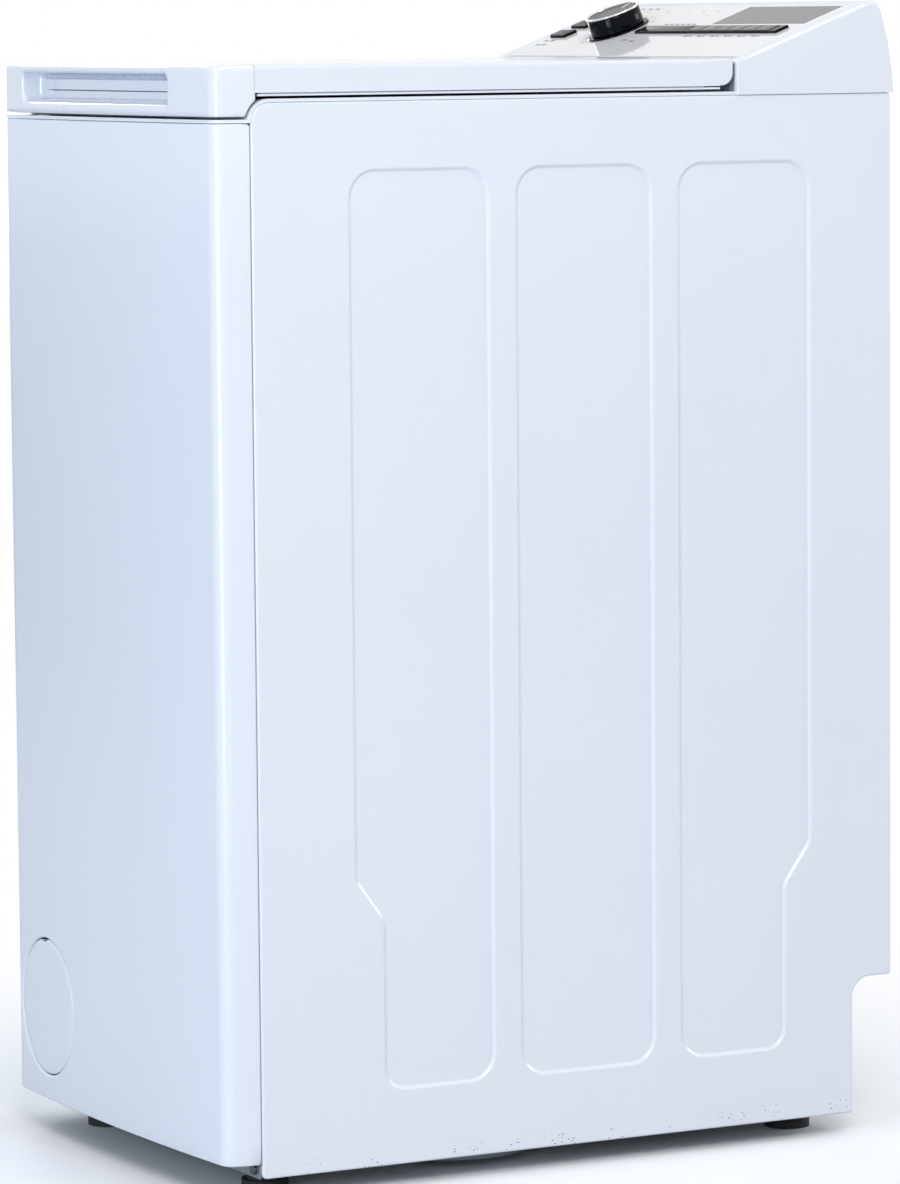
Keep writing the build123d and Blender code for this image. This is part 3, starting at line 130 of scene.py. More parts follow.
def rounded_path(corners: Sequence[tuple[float, float, float]], step: float, closed: bool = True) -> Array:
    """A flat polygon whose corners are arcs, as points along its outline.

    Each corner with radius r is replaced by the arc that touches both of its sides, at
    r * tan(turn / 2) from the corner.

    Args:
        corners: (u, v, radius) of each corner in order.
        step: Longest distance between points on an arc.
        closed: Whether the last corner joins the first.

    Returns:
        Points, one row each.
    """
    points = np.array([c[:2] for c in corners], float)
    out = []
    for i, (_, _, radius) in enumerate(corners):
        here = points[i]
        if (not closed and i in (0, len(corners) - 1)) or radius <= 0:
            out.append(here[None])
            continue
        a = points[i - 1] - here
        b = points[(i + 1) % len(points)] - here
        a /= np.linalg.norm(a)
        b /= np.linalg.norm(b)
        half = math.acos(float(np.clip(a @ b, -1, 1))) / 2
        middle = here + (a + b) / np.linalg.norm(a + b) * radius / math.sin(half)
        start = here + a * radius / math.tan(half) - middle
        turn = (math.pi - 2 * half) * (1 if a[0] * b[1] - a[1] * b[0] < 0 else -1)
        count = max(3, int(abs(turn) * radius / step) + 1)
        angle = np.linspace(0, turn, count)
        cos, sin = np.cos(angle), np.sin(angle)
        out.append(middle + np.stack([start[0] * cos - start[1] * sin, start[0] * sin + start[1] * cos], 1))
    return np.concatenate(out)


def side_normals(path: Array, closed: bool = True) -> Array:
    """Unit normals to the right of a flat path, by central differences.

    Args:
        path: Points of the path.
        closed: Whether the path closes.

    Returns:
        A normal for each point; on a path that runs anticlockwise they point outwards.
    """
    if closed:
        ahead, behind = np.roll(path, -1, 0) - path, path - np.roll(path, 1, 0)
    else:
        step = np.diff(path, axis=0)
        ahead, behind = np.vstack([step, step[-1:]]), np.vstack([step[:1], step])
    for part in (ahead, behind):
        part /= np.maximum(np.linalg.norm(part, axis=1, keepdims=True), TINY)
    total = ahead + behind
    total /= np.linalg.norm(total, axis=1, keepdims=True)
    stretch = 1 / np.maximum((total * ahead).sum(1), 0.5)
    return np.stack([total[:, 1], -total[:, 0]], 1) * stretch[:, None]


def distances(path: Array) -> Array:
    """Distance of each point along a path from its start."""
    return np.append(0.0, np.cumsum(np.linalg.norm(np.diff(path, axis=0), axis=1)))


def mirrored(values: Array) -> Array:
    """Values followed by the same values backwards."""
    return np.concatenate([values, values[::-1]])


def carried(across: Array, outline: Array) -> Array:
    """Puts an X before each row of (Y, Z) points."""
    return np.concatenate([np.broadcast_to(across[:, None, None], (*outline.shape[:2], 1)), outline], -1)


def round_over(radius: float, count: int = 6) -> tuple[Array, Array]:
    """A quarter round: how far in and how far down, from the flat top to the upright side.

    Args:
        radius: Radius of the edge.
        count: Points on the arc.

    Returns:
        Inset from the side and drop below the top, each from the top to the side.
    """
    angle = np.linspace(0, math.pi / 2, count)
    return radius * (1 - np.sin(angle)), radius * (1 - np.cos(angle))


def folded(radius: float, turn_in: float) -> tuple[Array, Array]:
    """A sheet's folded edge: how far in and how far out, from the face to the end of its return."""
    inset, drop = round_over(radius)
    return np.append(inset[::-1], turn_in), np.append((radius - drop)[::-1], radius)


def nearest_in(core: tuple[float, float, float, float], points: Array) -> Array:
    """For each (u, v) point, the nearest one in the rectangle of u low, u high, v low and v high."""
    return np.stack([np.clip(points[:, 0], core[0], core[1]), np.clip(points[:, 1], core[2], core[3])], 1)


class Draft:
    """Gathers patches of points and welds them into one mesh."""

    def __init__(self) -> None:
        """Starts with no patches."""
        self.points: list[Array] = []
        self.faces: list[Array] = []
        self.count = 0

    def add(self, points: Array, faces: Array) -> None:
        """Adds points and the faces between them.

        Args:
            points: One row for each point.
            faces: Rows of three or four point numbers.
        """
        self.points.append(np.asarray(points, float).reshape(-1, 3))
        self.faces.append(np.asarray(faces, int) + self.count)
        self.count += len(self.points[-1])

    def block(self, grid: Array, place: Callable[[Array], Array] = lambda points: points) -> None:
        """Adds a rounded block with its top and bottom closed.

        Args:
            grid: The block's side, from rounded_box.
            place: Takes the grid's points to their place.
        """
        self.patch(place(grid), close_u=True)
        for ring in (grid[:, 0], grid[:, -1]):
            middle = np.broadcast_to(ring.mean(0), ring.shape)
            self.patch(place(np.stack([ring, middle], 1)), close_u=True)

    def patch(self, grid: Array, close_u: bool = False, close_v: bool = False) -> None:
        """Adds a grid of points as quads.

        Args:
            grid: Points by row, column and axis.
            close_u: Whether the last row joins the first.
            close_v: Whether the last column joins the first.
        """
        rows, columns = grid.shape[:2]
        index = np.arange(rows * columns).reshape(rows, columns)
        if close_u:
            index = np.vstack([index, index[:1]])
        if close_v:
            index = np.hstack([index, index[:, :1]])
        quads = np.stack([index[:-1, :-1], index[1:, :-1], index[1:, 1:], index[:-1, 1:]], -1)
        self.add(grid.reshape(-1, 3), quads.reshape(-1, 4))

    def fill(self, loops: Sequence[Array], flat: tuple[int, int]) -> None:
        """Fills a flat region, whose first loop is its edge and whose other loops are its holes.

        Args:
            loops: Closed rings of points.
            flat: The two axes in which the region lies.
        """
        points = np.concatenate(loops)
        edges, start = [], 0
        for loop in loops:
            ring = np.arange(start, start + len(loop))
            edges += np.stack([ring, np.roll(ring, -1)], 1).tolist()
            start += len(loop)
        flat_points = [Vector(row) for row in points[:, flat].tolist()]
        got, _, faces, _, _, _ = delaunay_2d_cdt(flat_points, edges, [], 2, CROSSING)
        kept = [face for face in faces if self._inside(got, face, loops, flat)]
        filled = np.broadcast_to(points.mean(0), (len(got), 3)).copy()
        filled[:, flat] = np.array([tuple(v) for v in got])
        self.add(filled, np.array(kept))

    @staticmethod
    def _inside(got: Sequence[Vector], face: Sequence[int], loops: Sequence[Array],
                flat: tuple[int, int]) -> bool:
        """Whether a triangle's middle lies in the outer loop and in none of the holes.

        Args:
            got: The triangulation's points.
            face: Numbers of the triangle's points.
            loops: Closed rings of points.
            flat: The two axes in which they lie.

        Returns:
            True where a line from the middle crosses the loops an odd number of times.
        """
        middle = sum((got[i] for i in face), Vector((0, 0))) / len(face)
        inside = 0
        for loop in loops:
            u, v = loop[:, flat[0]], loop[:, flat[1]]
            next_u, next_v = np.roll(u, -1), np.roll(v, -1)
            crosses = (v > middle.y) != (next_v > middle.y)
            rise = np.where(next_v == v, TINY, next_v - v)
            inside += int((crosses & (middle.x < u + (middle.y - v) / rise * (next_u - u))).sum())
        return inside % 2 == 1

    def build(self, name: str, sharp: float = 32.0) -> bpy.types.Object:
        """Makes the object: points that meet are welded and faces turned outwards.

        Args:
            name: Name of the piece.
            sharp: Edges that turn more than this many degrees stay crisp.

        Returns:
            The finished object, at the origin.
        """
        mesh = bpy.data.meshes.new(name)
        faces = [row for block in self.faces for row in block.tolist()]
        mesh.from_pydata(np.concatenate(self.points).tolist(), [], faces)
        edit = bmesh.new()
        edit.from_mesh(mesh)
        bmesh.ops.remove_doubles(edit, verts=edit.verts, dist=WELD)
        bmesh.ops.dissolve_degenerate(edit, edges=edit.edges, dist=WELD / 4)
        loose = [vert for vert in edit.verts if not vert.link_faces]
        bmesh.ops.delete(edit, geom=loose, context="VERTS")
        bmesh.ops.recalc_face_normals(edit, faces=edit.faces)
        edit.to_mesh(mesh)
        edit.free()
        mesh.polygons.foreach_set("use_smooth", np.ones(len(mesh.polygons), bool))
        mesh.set_sharp_from_angle(angle=math.radians(sharp))
        piece = bpy.data.objects.new(name, mesh)
        bpy.context.scene.collection.objects.link(piece)
        return piece


def thicken(piece: bpy.types.Object, wall: float) -> None:
    """Gives a sheet its wall, inwards from the surface that was drawn.

    Args:
        piece: The sheet.
        wall: Thickness.
    """
    solid = piece.modifiers.new("wall", "SOLIDIFY")
    solid.thickness = wall
    solid.offset = -1.0


def even_normals(piece: bpy.types.Object) -> None:
    """Lets large flat faces keep their own direction next to rounded edges.

    Args:
        piece: The piece.
    """
    normals = piece.modifiers.new("normals", "WEIGHTED_NORMAL")
    normals.keep_sharp = True
    normals.weight = 60


def ring_between(outer: Array, core: tuple[float, float, float, float], radius: float, steps: Array) -> Array:
    """A patch from a closed rectangle to a rounded hole in it.

    Each point of the rectangle is drawn towards the nearest point of the hole, which is the core
    rectangle grown by the radius.

    Args:
        outer: Closed ring of (u, v) points round the hole.
        core: u low, u high, v low and v high of the hole's core; a point for a round hole.
        radius: Radius by which the core is grown.
        steps: 0 at the hole to 1 at the rectangle.

    Returns:
        Points by ring position, step and axis.
    """
    nearest = nearest_in(core, outer)
    away = outer - nearest
    away /= np.linalg.norm(away, axis=1, keepdims=True)
    hole = nearest + away * radius
    return hole[:, None] + (outer - hole)[:, None] * steps[None, :, None]


def rectangle_ring(u: Array, v: Array) -> Array:
    """Closed ring of grid points round a rectangle, anticlockwise from its low corner.

    Args:
        u: Rising grid lines along the first axis.
        v: Rising grid lines along the second axis.

    Returns:
        The ring's (u, v) points, each corner once.
    """
    low = np.stack([u[:-1], np.full(len(u) - 1, v[0])], 1)
    right = np.stack([np.full(len(v) - 1, u[-1]), v[:-1]], 1)
    high = np.stack([u[:0:-1], np.full(len(u) - 1, v[-1])], 1)
    left = np.stack([np.full(len(v) - 1, u[0]), v[:0:-1]], 1)
    return np.concatenate([low, right, high, left])


def revolve(profile: Array, count: int) -> Array:
    """A profile of radius and height turned round the upright axis.

    Args:
        profile: Rows of (radius, height).
        count: Points round the axis.

    Returns:
        Points by angle, profile position and axis, which close in the first direction.
    """
    angle = np.linspace(0, 2 * math.pi, count, endpoint=False)[:, None]
    radius, height = profile[:, 0][None], profile[:, 1][None]
    return np.stack([radius * np.cos(angle), radius * np.sin(angle), height + 0 * angle], -1)


def smoothed(profile: Sequence[tuple[float, float, float]], step: float = 0.4 * MM) -> Array:
    """An open profile whose corners are rounded; see rounded_path.

    Args:
        profile: (u, v, radius) of each corner.
        step: Longest step on an arc.

    Returns:
        Rows of (u, v).
    """
    return rounded_path(profile, step, closed=False)


def rounded_box(low: Sequence[float], high: Sequence[float], radius: float, plan: float) -> Array:
    """The side and top edge of a box with rounded upright corners, all but its flat ends.

    The outline, a rectangle with corner arcs, is carried up a profile that turns in over the top.

    Args:
        low: Lowest corner.
        high: Highest corner.
        radius: Radius of the top edge.
        plan: Radius of the upright corners, at least the top radius.

    Returns:
        Points by place round the outline, level and axis, which close in the first direction.
    """
    plan = max(plan, radius * 1.05)
    path = rounded_path([(low[0], low[1], plan), (high[0], low[1], plan), (high[0], high[1], plan),
                         (low[0], high[1], plan)], plan * 0.2)
    normal = side_normals(path)
    inset, drop = round_over(radius)
    inset = np.concatenate([np.zeros(len(inset)), inset[::-1]])
    drop = np.concatenate([np.full(len(drop), high[2] - low[2]), drop[::-1]])
    flat = path[:, None] - normal[:, None] * inset[None, :, None]
    height = np.broadcast_to(high[2] - drop, flat.shape[:2])
    return np.concatenate([flat, height[..., None]], -1)


# Placing on the console's slope


@dataclass(frozen=True)
class Slope:
    """The console's sloping face, with X across, s up the slope and n square to it.

    Args:
        front: Y of the slope's lower edge.
        low: Z of the slope's lower edge.
        angle: Slope in radians.
    """

    front: float
    low: float
    angle: float

    def place(self, local: Array) -> Array:
        """Takes (x, s, n) points to the machine's frame.

        Args:
            local: Points whose last axis is x, s and n.

        Returns:
            The placed points.
        """
        cos, sin = math.cos(self.angle), math.sin(self.angle)
        x, s, n = local[..., 0], local[..., 1], local[..., 2]
        return np.stack([x, self.front + s * cos - n * sin, self.low + s * sin + n * cos], -1)

    def local(self, point: Sequence[float]) -> Array:
        """Takes one placed point to (x, s, n).

        Args:
            point: X, Y and Z.

        Returns:
            The local point.
        """
        cos, sin = math.cos(self.angle), math.sin(self.angle)
        y, z = point[1] - self.front, point[2] - self.low
        return np.array([point[0], y * cos + z * sin, z * cos - y * sin])

    def node_points(self, node: str) -> Array:
        """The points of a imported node.

        Args:
            node: Its name.

        Returns:
            Rows of (x, s, n), each point once.
        """
        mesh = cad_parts[node].data
        points = np.zeros(len(mesh.vertices) * 3)
        mesh.vertices.foreach_get("co", points)
        return np.array([self.local(row) for row in np.unique(points.reshape(-1, 3), axis=0)])

    def node_box(self, node: str) -> tuple[Array, Array]:
        """Lowest and highest (x, s, n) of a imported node."""
        local = self.node_points(node)
        return local.min(0), local.max(0)


def crest_centre(high: Vector) -> Array:
    """Centre of the console's crest in (Y, Z), from the housing's highest corner."""
    return np.array([high.y - CREST_BEHIND, high.z - CREST_RADIUS])


def console_slope() -> Slope:
    """The sloping face, which runs from the housing's front edge up to the crest.

    Returns:
        The slope, whose line touches the crest's circle.
    """
    low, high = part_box("console_housing")
    meet = crest_centre(high) + CREST_RADIUS * np.array([-math.sin(SLOPE_ANGLE), math.cos(SLOPE_ANGLE)])
    edge = meet[1] - (meet[0] - low.y) * math.tan(SLOPE_ANGLE)
    return Slope(low.y, float(edge), SLOPE_ANGLE)


# Finishes


class Wear(Enum):
    """How much use a finish shows."""

    NEW = 0.3
    LIGHT = 0.6
    USED = 1.0


def add_node(tree: bpy.types.NodeTree, kind: str, output: str | int, inputs: dict, **settings) -> Socket:
    """Adds a shader node, sets it up and returns one of its outputs.

    Args:
        tree: Where the node goes.
        kind: Its type, without the leading ShaderNode.
        output: Name or number of the wanted output.
        inputs: A source, a number or a colour for each named or numbered input.
        settings: The node's own settings.

    Returns:
        The output.
    """
    node = tree.nodes.new("ShaderNode" + kind)
    for name, value in settings.items():
        setattr(node, name, value)
    for key, value in inputs.items():
        if isinstance(value, Socket):
            tree.links.new(value, node.inputs[key])
        else:
            node.inputs[key].default_value = value
    return node.outputs[output]


def rgba(colour: Sequence[float]) -> tuple[float, float, float, float]:
    """A colour with its alpha."""
    return (*colour, 1.0)


class Graph:
    """Short forms for building one material's nodes."""

    def __init__(self, name: str) -> None:
        """Starts a material with a shader and Object coordinates.

        Args:
            name: Name of the material.
        """
        self.material = bpy.data.materials.new(name)
        self.material.use_nodes = True
        self.tree = self.material.node_tree
        self.shader = next(n for n in self.tree.nodes if n.type == "BSDF_PRINCIPLED")
        self.where = self.add("TexCoord", "Object", {})

    def add(self, kind: str, output: str | int, inputs: dict, **settings) -> Socket:
        """Adds a node to the material; see add_node."""
        return add_node(self.tree, kind, output, inputs, **settings)

    def put(self, **values: Socket | float) -> None:
        """Joins or sets the shader's inputs.

        Args:
            values: A source or a number for each input, named with _ for each blank.
        """
        for name, value in values.items():
            target = self.shader.inputs[name.replace("_", " ")]
            if isinstance(value, Socket):
                self.tree.links.new(value, target)
            else:
                target.default_value = value

    def source(self, name: str) -> Socket:
        """What feeds one of the shader's inputs."""
        return self.shader.inputs[name].links[0].from_socket

    def stretched(self, scale: tuple[float, float, float]) -> Socket:
        """Object coordinates scaled by axis."""
        return self.add("Mapping", "Vector", {"Scale": scale, "Vector": self.where})

    def noise(self, scale: float, detail: float = 3.0, rough: float = 0.5,
              vector: Socket | None = None) -> Socket:
        """A noise pattern over the surface.

        Args:
            scale: Waves in a metre.
            detail: Octaves.
            rough: Strength of the finer octaves.
            vector: Coordinates, or the object's own.

        Returns:
            The pattern, about 0 to 1.
        """
        return self.add("TexNoise", "Fac", {"Scale": scale, "Detail": detail, "Roughness": rough,
                                            "Vector": vector or self.where})

    def spots(self, scale: float, output: str = "Distance", vector: Socket | None = None,
              scatter: float = 1.0) -> Socket:
        """A pattern of cells round points.

        Args:
            scale: Points along a metre.
            output: Distance to the nearest point, or Color of its cell.
            vector: Coordinates, or the object's own.
            scatter: 0 for a lattice, 1 for scattered points.

        Returns:
            The pattern.
        """
        vector = vector or self.where
        return self.add("TexVoronoi", output, {"Scale": scale, "Randomness": scatter, "Vector": vector})

    def span(self, value: Socket, low: float, high: float, to_low: float = 0.0,
             to_high: float = 1.0) -> Socket:
        """Maps a value from one range to another, held at the ends.

        Args:
            value: What is mapped.
            low: Start of its range.
            high: End of its range.
            to_low: Result at the start.
            to_high: Result at the end.

        Returns:
            The mapped value.
        """
        return self.add("MapRange", "Result", {"From Min": low, "From Max": high, "To Min": to_low,
                                               "To Max": to_high, "Value": value})

    def product(self, a: Socket, b: Socket | float) -> Socket:
        """Two patterns, or a pattern and a number, multiplied."""
        return self.add("Math", 0, {0: a, 1: b}, operation="MULTIPLY")

    def mix(self, amount: Socket, a: Socket | Sequence[float], b: Sequence[float]) -> Socket:
        """Blends a colour, or a pattern of colours, into another colour.

        Args:
            amount: 0 for the first, 1 for the second.
            a: First colour or pattern.
            b: Second colour.

        Returns:
            The blended colour.
        """
        first = a if isinstance(a, Socket) else rgba(a)
        return self.add("Mix", 2, {"Factor": amount, 6: first, 7: rgba(b)}, data_type="RGBA")

    def bump(self, height: Socket, distance: float) -> None:
        """Raises the surface by a pattern.

        Args:
            height: The pattern.
            distance: Height of a whole step, in metres.
        """
        inputs = {"Distance": distance, "Strength": 1.0, "Height": height}
        if self.shader.inputs["Normal"].is_linked:
            inputs["Normal"] = self.source("Normal")
        self.put(Normal=self.add("Bump", "Normal", inputs))


def shade(colour: Sequence[float], factor: float) -> tuple[float, float, float]:
    """A colour made lighter or darker, kept between 0 and 1."""
    return tuple(min(1.0, c * factor) for c in colour)


@dataclass(frozen=True)
class Finish:
    """A plain moulded or painted finish with slight unevenness.

    Args:
        name: Name of the material.
        colour: Linear colour.
        roughness: Middle roughness.
        mottle: How far the colour wanders.
        grain: Waves of the fine texture in a metre.
        relief: Height of the fine texture in metres.
        coat: Strength of a clear coat.
        wear: How much use shows.
        gloss: Strength of the plain reflection; 0.5 is that of most plastics.
    """

    name: str
    colour: tuple[float, float, float]
    roughness: float = 0.4
    mottle: float = 0.03
    grain: float = 900.0
    relief: float = 4e-6
    coat: float = 0.0
    wear: Wear = Wear.NEW
    gloss: float = 0.5

    @cache
    def material(self) -> bpy.types.Material:
        """Builds the material once.

        Returns:
            The material.
        """
        graph = Graph("finish_" + self.name)
        self.dress(graph)
        return graph.material

    def dress(self, graph: Graph) -> None:
        """Wires a slowly wandering colour, smears in the roughness and a fine relief.

        Args:
            graph: The material's nodes.
        """
        self.blend(graph, graph.span(graph.noise(DRIFT, 3.0), 0.3, 0.7), 1 + self.mottle, 1 - self.mottle)
        self.spread(graph, graph.noise(SMEAR, 4.0, 0.6), (0.25, 0.75), 0.10 * self.wear.value, 0.02)
        graph.bump(graph.noise(self.grain, 2.0), self.relief)
        graph.put(Specular_IOR_Level=self.gloss, Coat_Weight=self.coat, Coat_Roughness=0.05)

    def blend(self, graph: Graph, pattern: Socket, light: float, dark: float) -> None:
        """Lets the colour run from a lighter to a darker tone over a pattern."""
        graph.put(Base_Color=graph.mix(pattern, shade(self.colour, light), shade(self.colour, dark)))

    def spread(self, graph: Graph, pattern: Socket, span: tuple[float, float], width: float,
               least: float) -> None:
        """Lets the roughness run over a pattern.

        Args:
            graph: The material's nodes.
            pattern: The pattern.
            span: The part of the pattern's range that counts.
            width: How far the roughness runs to either side.
            least: The smallest roughness.
        """
        low, high = max(least, self.roughness - width), self.roughness + width
        graph.put(Roughness=graph.span(pattern, *span, low, high))


@dataclass(frozen=True)
class Enamel(Finish):
    """Baked enamel on sheet steel: faint orange peel, soft smears and a few chips low down.

    Args:
        chip_height: Chips show only below this height.
        chip_waves: Places for a chip along a metre.
        chip_colour: Colour of the bare steel in a chip.
    """

    chip_height: float = 0.034
    chip_waves: float = 240.0
    chip_colour: tuple[float, float, float] = (0.10, 0.11, 0.13)

    def dress(self, graph: Graph) -> None:
        """Wires the paint, its orange peel and its chips.

        Args:
            graph: The material's nodes.
        """
        super().dress(graph)
        graph.bump(graph.noise(9.0, 2.0), 5e-5)
        places = graph.spots(self.chip_waves, vector=graph.stretched((1.0, 1.0, 1.6)))
        speck = graph.span(places, 0.14, 0.22, 1.0, 0.0)
        rare = graph.span(graph.noise(42.0, 2.0), 0.52, 0.56)
        height = graph.add("SeparateXYZ", "Z", {0: graph.where})
        low = graph.span(height, self.chip_height * 0.7, self.chip_height, 1.0, 0.0)
        chips = graph.product(graph.product(speck, rare), low)
        graph.put(Base_Color=graph.mix(chips, graph.source("Base Color"), self.chip_colour))
        graph.bump(graph.product(chips, -1.0), 1e-4)


@dataclass(frozen=True)
class Metal(Finish):
    """Bare metal with brushing along one axis.

    Args:
        brush: Scale of the brushing by axis; a small number runs along it.
    """

    brush: tuple[float, float, float] = (20.0, 900.0, 900.0)

    def dress(self, graph: Graph) -> None:
        """Wires the brushed metal.

        Args:
            graph: The material's nodes.
        """
        super().dress(graph)
        lay = graph.noise(1.0, 3.0, 0.6, graph.stretched(self.brush))
        self.spread(graph, lay, (0.3, 0.7), 0.08 + 0.05 * self.wear.value, 0.05)
        graph.bump(lay, 6e-6)
        graph.put(Metallic=1.0)


@dataclass(frozen=True)
class Zinc(Finish):
    """Hot dipped zinc: grey spangles of slightly different tone.

    Args:
        spangles: Spangles along a metre.
    """

    spangles: float = 110.0

    def dress(self, graph: Graph) -> None:
        """Wires the spangles.

        Args:
            graph: The material's nodes.
        """
        super().dress(graph)
        tone = graph.add("SeparateColor", 0, {0: graph.spots(self.spangles, "Color")})
        self.blend(graph, graph.span(tone, 0.0, 1.0), 1.1, 0.86)
        graph.put(Metallic=0.75)


@dataclass(frozen=True)
class Perforated(Metal):
    """Stainless drum sheet with rows of small wash holes and soft dimples round them.

    Args:
        pitch: Distance between holes.
        hole: Radius of a hole.
    """

    pitch: float = 0.016
    hole: float = 0.0017

    def dress(self, graph: Graph) -> None:
        """Wires the holes on a square lattice.

        Args:
            graph: The material's nodes.
        """
        super().dress(graph)
        away = graph.spots(1.0 / self.pitch, scatter=0.0)
        reach = self.hole / self.pitch
        inside = graph.span(away, reach, reach * 1.25, 1.0, 0.0)
        graph.put(Base_Color=graph.mix(inside, graph.source("Base Color"), (0.01, 0.01, 0.012)))
        graph.bump(graph.span(away, reach, reach * 2.2), 4e-4)


@dataclass(frozen=True)
class Concrete(Finish):
    """Cast concrete with pores and pale patches."""

    def dress(self, graph: Graph) -> None:
        """Wires the patches and pores.

        Args:
            graph: The material's nodes.
        """
        super().dress(graph)
        self.blend(graph, graph.span(graph.noise(30.0, 6.0, 0.7), 0.35, 0.65), 1.2, 0.8)
        graph.bump(graph.span(graph.spots(260.0), 0.05, 0.25), 4e-4)


@dataclass(frozen=True)
class Board(Finish):
    """Circuit board with fine copper tracks under its lacquer."""

    def dress(self, graph: Graph) -> None:
        """Wires the tracks.

        Args:
            graph: The material's nodes.
        """
        super().dress(graph)
        track = graph.span(graph.noise(1.0, 0.0, 0.5, graph.stretched((700.0, 60.0, 60.0))), 0.5, 0.54)
        graph.put(Base_Color=graph.mix(track, graph.source("Base Color"), shade(self.colour, 1.9)))


@dataclass(frozen=True)
class Turned(Finish):
    """A dark disc turned on a lathe, with rings round its axis.

    Args:
        centre: Point on the axis.
        tilt: Lean of the axis from Z, about X.
        rings: Scale of the rings.
    """

    centre: tuple[float, float, float] = (0.0, 0.0, 0.0)
    tilt: float = 0.0
    rings: float = 900.0

    def dress(self, graph: Graph) -> None:
        """Wires rings of roughness and relief round the axis.

        Args:
            graph: The material's nodes.
        """
        super().dress(graph)
        turned = graph.add("Mapping", "Vector", {"Location": self.centre, "Rotation": (self.tilt, 0.0, 0.0),
                                                 "Vector": graph.where}, vector_type="TEXTURE")
        rings = graph.add("TexWave", "Fac", {"Scale": self.rings, "Distortion": 0.6, "Vector": turned},
                          wave_type="RINGS", rings_direction="Z")
        rough = graph.span(rings, 0.0, 1.0, self.roughness - 0.08, self.roughness + 0.1)
        graph.put(Roughness=rough, Metallic=0.35)
        graph.bump(rings, 3e-6)


ENAMEL = Enamel("enamel", (0.77, 0.802, 0.856), 0.24, 0.010, 220.0, 1.5e-6, coat=0.2)
MOULDING = Finish("white_moulding", (0.755, 0.78, 0.838), 0.11, 0.010, 240.0, 1.2e-6, coat=0.5)
# Painted shade: a dark blue that stands for the shade the grip's lip casts high on the recess's back wall
PAINTED_RECESS_SHADE = Finish("painted_recess_shade", (0.36, 0.45, 0.58), 0.5, 0.02, 300.0, 2e-6)
# Painted shade: a dark grey that stands for the shade deep in the narrow gap between the lid and the console
PAINTED_GAP_SHADE = Finish("painted_gap_shade", (0.25, 0.28, 0.29), 0.6, 0.05, 500.0, 3e-6, gloss=0.2)
LINER = Finish("liner_moulding", (0.78, 0.81, 0.855), 0.34, 0.015, 500.0, 3e-6)
FASCIA = Finish("fascia_gloss", (0.835, 0.828, 0.81), 0.06, 0.008, 120.0, 4e-7, gloss=0.25)
BLACK = Finish("black_gloss", (0.0028, 0.0038, 0.0055), 0.09, 0.10, 300.0, 8e-7, gloss=0.09)
KEY_BLACK = Finish("key_black", (0.010, 0.011, 0.012), 0.20, 0.10, 500.0, 2e-6, gloss=0.36)
BUTTON = Finish("button_black", (0.005, 0.0055, 0.006), 0.30, 0.10, 500.0, 2e-6, gloss=0.08)
CHROME = Metal("bright_ring", (0.78, 0.79, 0.80), 0.10, 0.02, 900.0, 1e-6, brush=(300.0, 300.0, 300.0))
WINDOW = Finish("smoked_window", (0.085, 0.09, 0.094), 0.12, 0.05, 200.0, 1e-6, gloss=0.28)
INK = Finish("grey_print", (0.16, 0.16, 0.165), 0.5, 0.15, 900.0, 2e-6)
RUBBER = Finish("foot_rubber", (0.016, 0.016, 0.017), 0.75, 0.2, 1200.0, 3e-5, wear=Wear.USED)
SOFT = Finish("grey_rubber", (0.20, 0.21, 0.225), 0.55, 0.08, 700.0, 1.2e-5, wear=Wear.LIGHT)
BELT = Finish("belt_rubber", (0.02, 0.02, 0.021), 0.7, 0.2, 900.0, 2e-5, wear=Wear.USED)
GREY = Finish("grey_moulding", (0.26, 0.28, 0.30), 0.45, 0.05, 900.0, 8e-6)
DARK = Finish("dark_moulding", (0.025, 0.026, 0.028), 0.5, 0.1, 900.0, 8e-6)
TRAY = Finish("tray_moulding", (0.58, 0.64, 0.70), 0.36, 0.03, 800.0, 5e-6)
BASE = Finish("base_moulding", (0.34, 0.38, 0.42), 0.5, 0.05, 700.0, 1.2e-5, wear=Wear.USED)
TUB = Finish("tub_moulding", (0.42, 0.44, 0.44), 0.5, 0.05, 400.0, 1.5e-5, wear=Wear.LIGHT)
LIFTER = Finish("lifter_moulding", (0.60, 0.65, 0.70), 0.35, 0.03, 700.0, 6e-6)
ZINC = Zinc("zinc_sheet", (0.32, 0.36, 0.385), 0.38, 0.04, 500.0, 6e-6, wear=Wear.USED)
SCREW = Metal("plated_screw", (0.14, 0.16, 0.19), 0.18, 0.1, 900.0, 4e-6, brush=(500.0, 500.0, 500.0))
STAINLESS = Metal("stainless_sheet", (0.60, 0.60, 0.61), 0.24, 0.03, 900.0, 2e-6)
DRUM = Perforated("drum_sheet", (0.60, 0.60, 0.61), 0.22, 0.03, 900.0, 2e-6)
ALLOY = Metal("cast_alloy", (0.50, 0.51, 0.52), 0.42, 0.06, 500.0, 2e-5, brush=(200.0, 200.0, 200.0))
STEEL = Metal("bright_steel", (0.42, 0.43, 0.45), 0.30, 0.05, 900.0, 4e-6, brush=(400.0, 400.0, 30.0))
CONCRETE = Concrete("cast_concrete", (0.36, 0.35, 0.33), 0.85, 0.08, 300.0, 5e-5)
TURNED = Turned("knob_face_turned", (0.03, 0.032, 0.034), 0.30, 0.05, 900.0, 1e-6, gloss=0.12)
MOTOR = Finish("motor_paint", (0.09, 0.095, 0.10), 0.42, 0.08, 600.0, 8e-6, wear=Wear.LIGHT)
BOARD = Board("circuit_board", (0.012, 0.10, 0.045), 0.3, 0.05, 900.0, 4e-6)


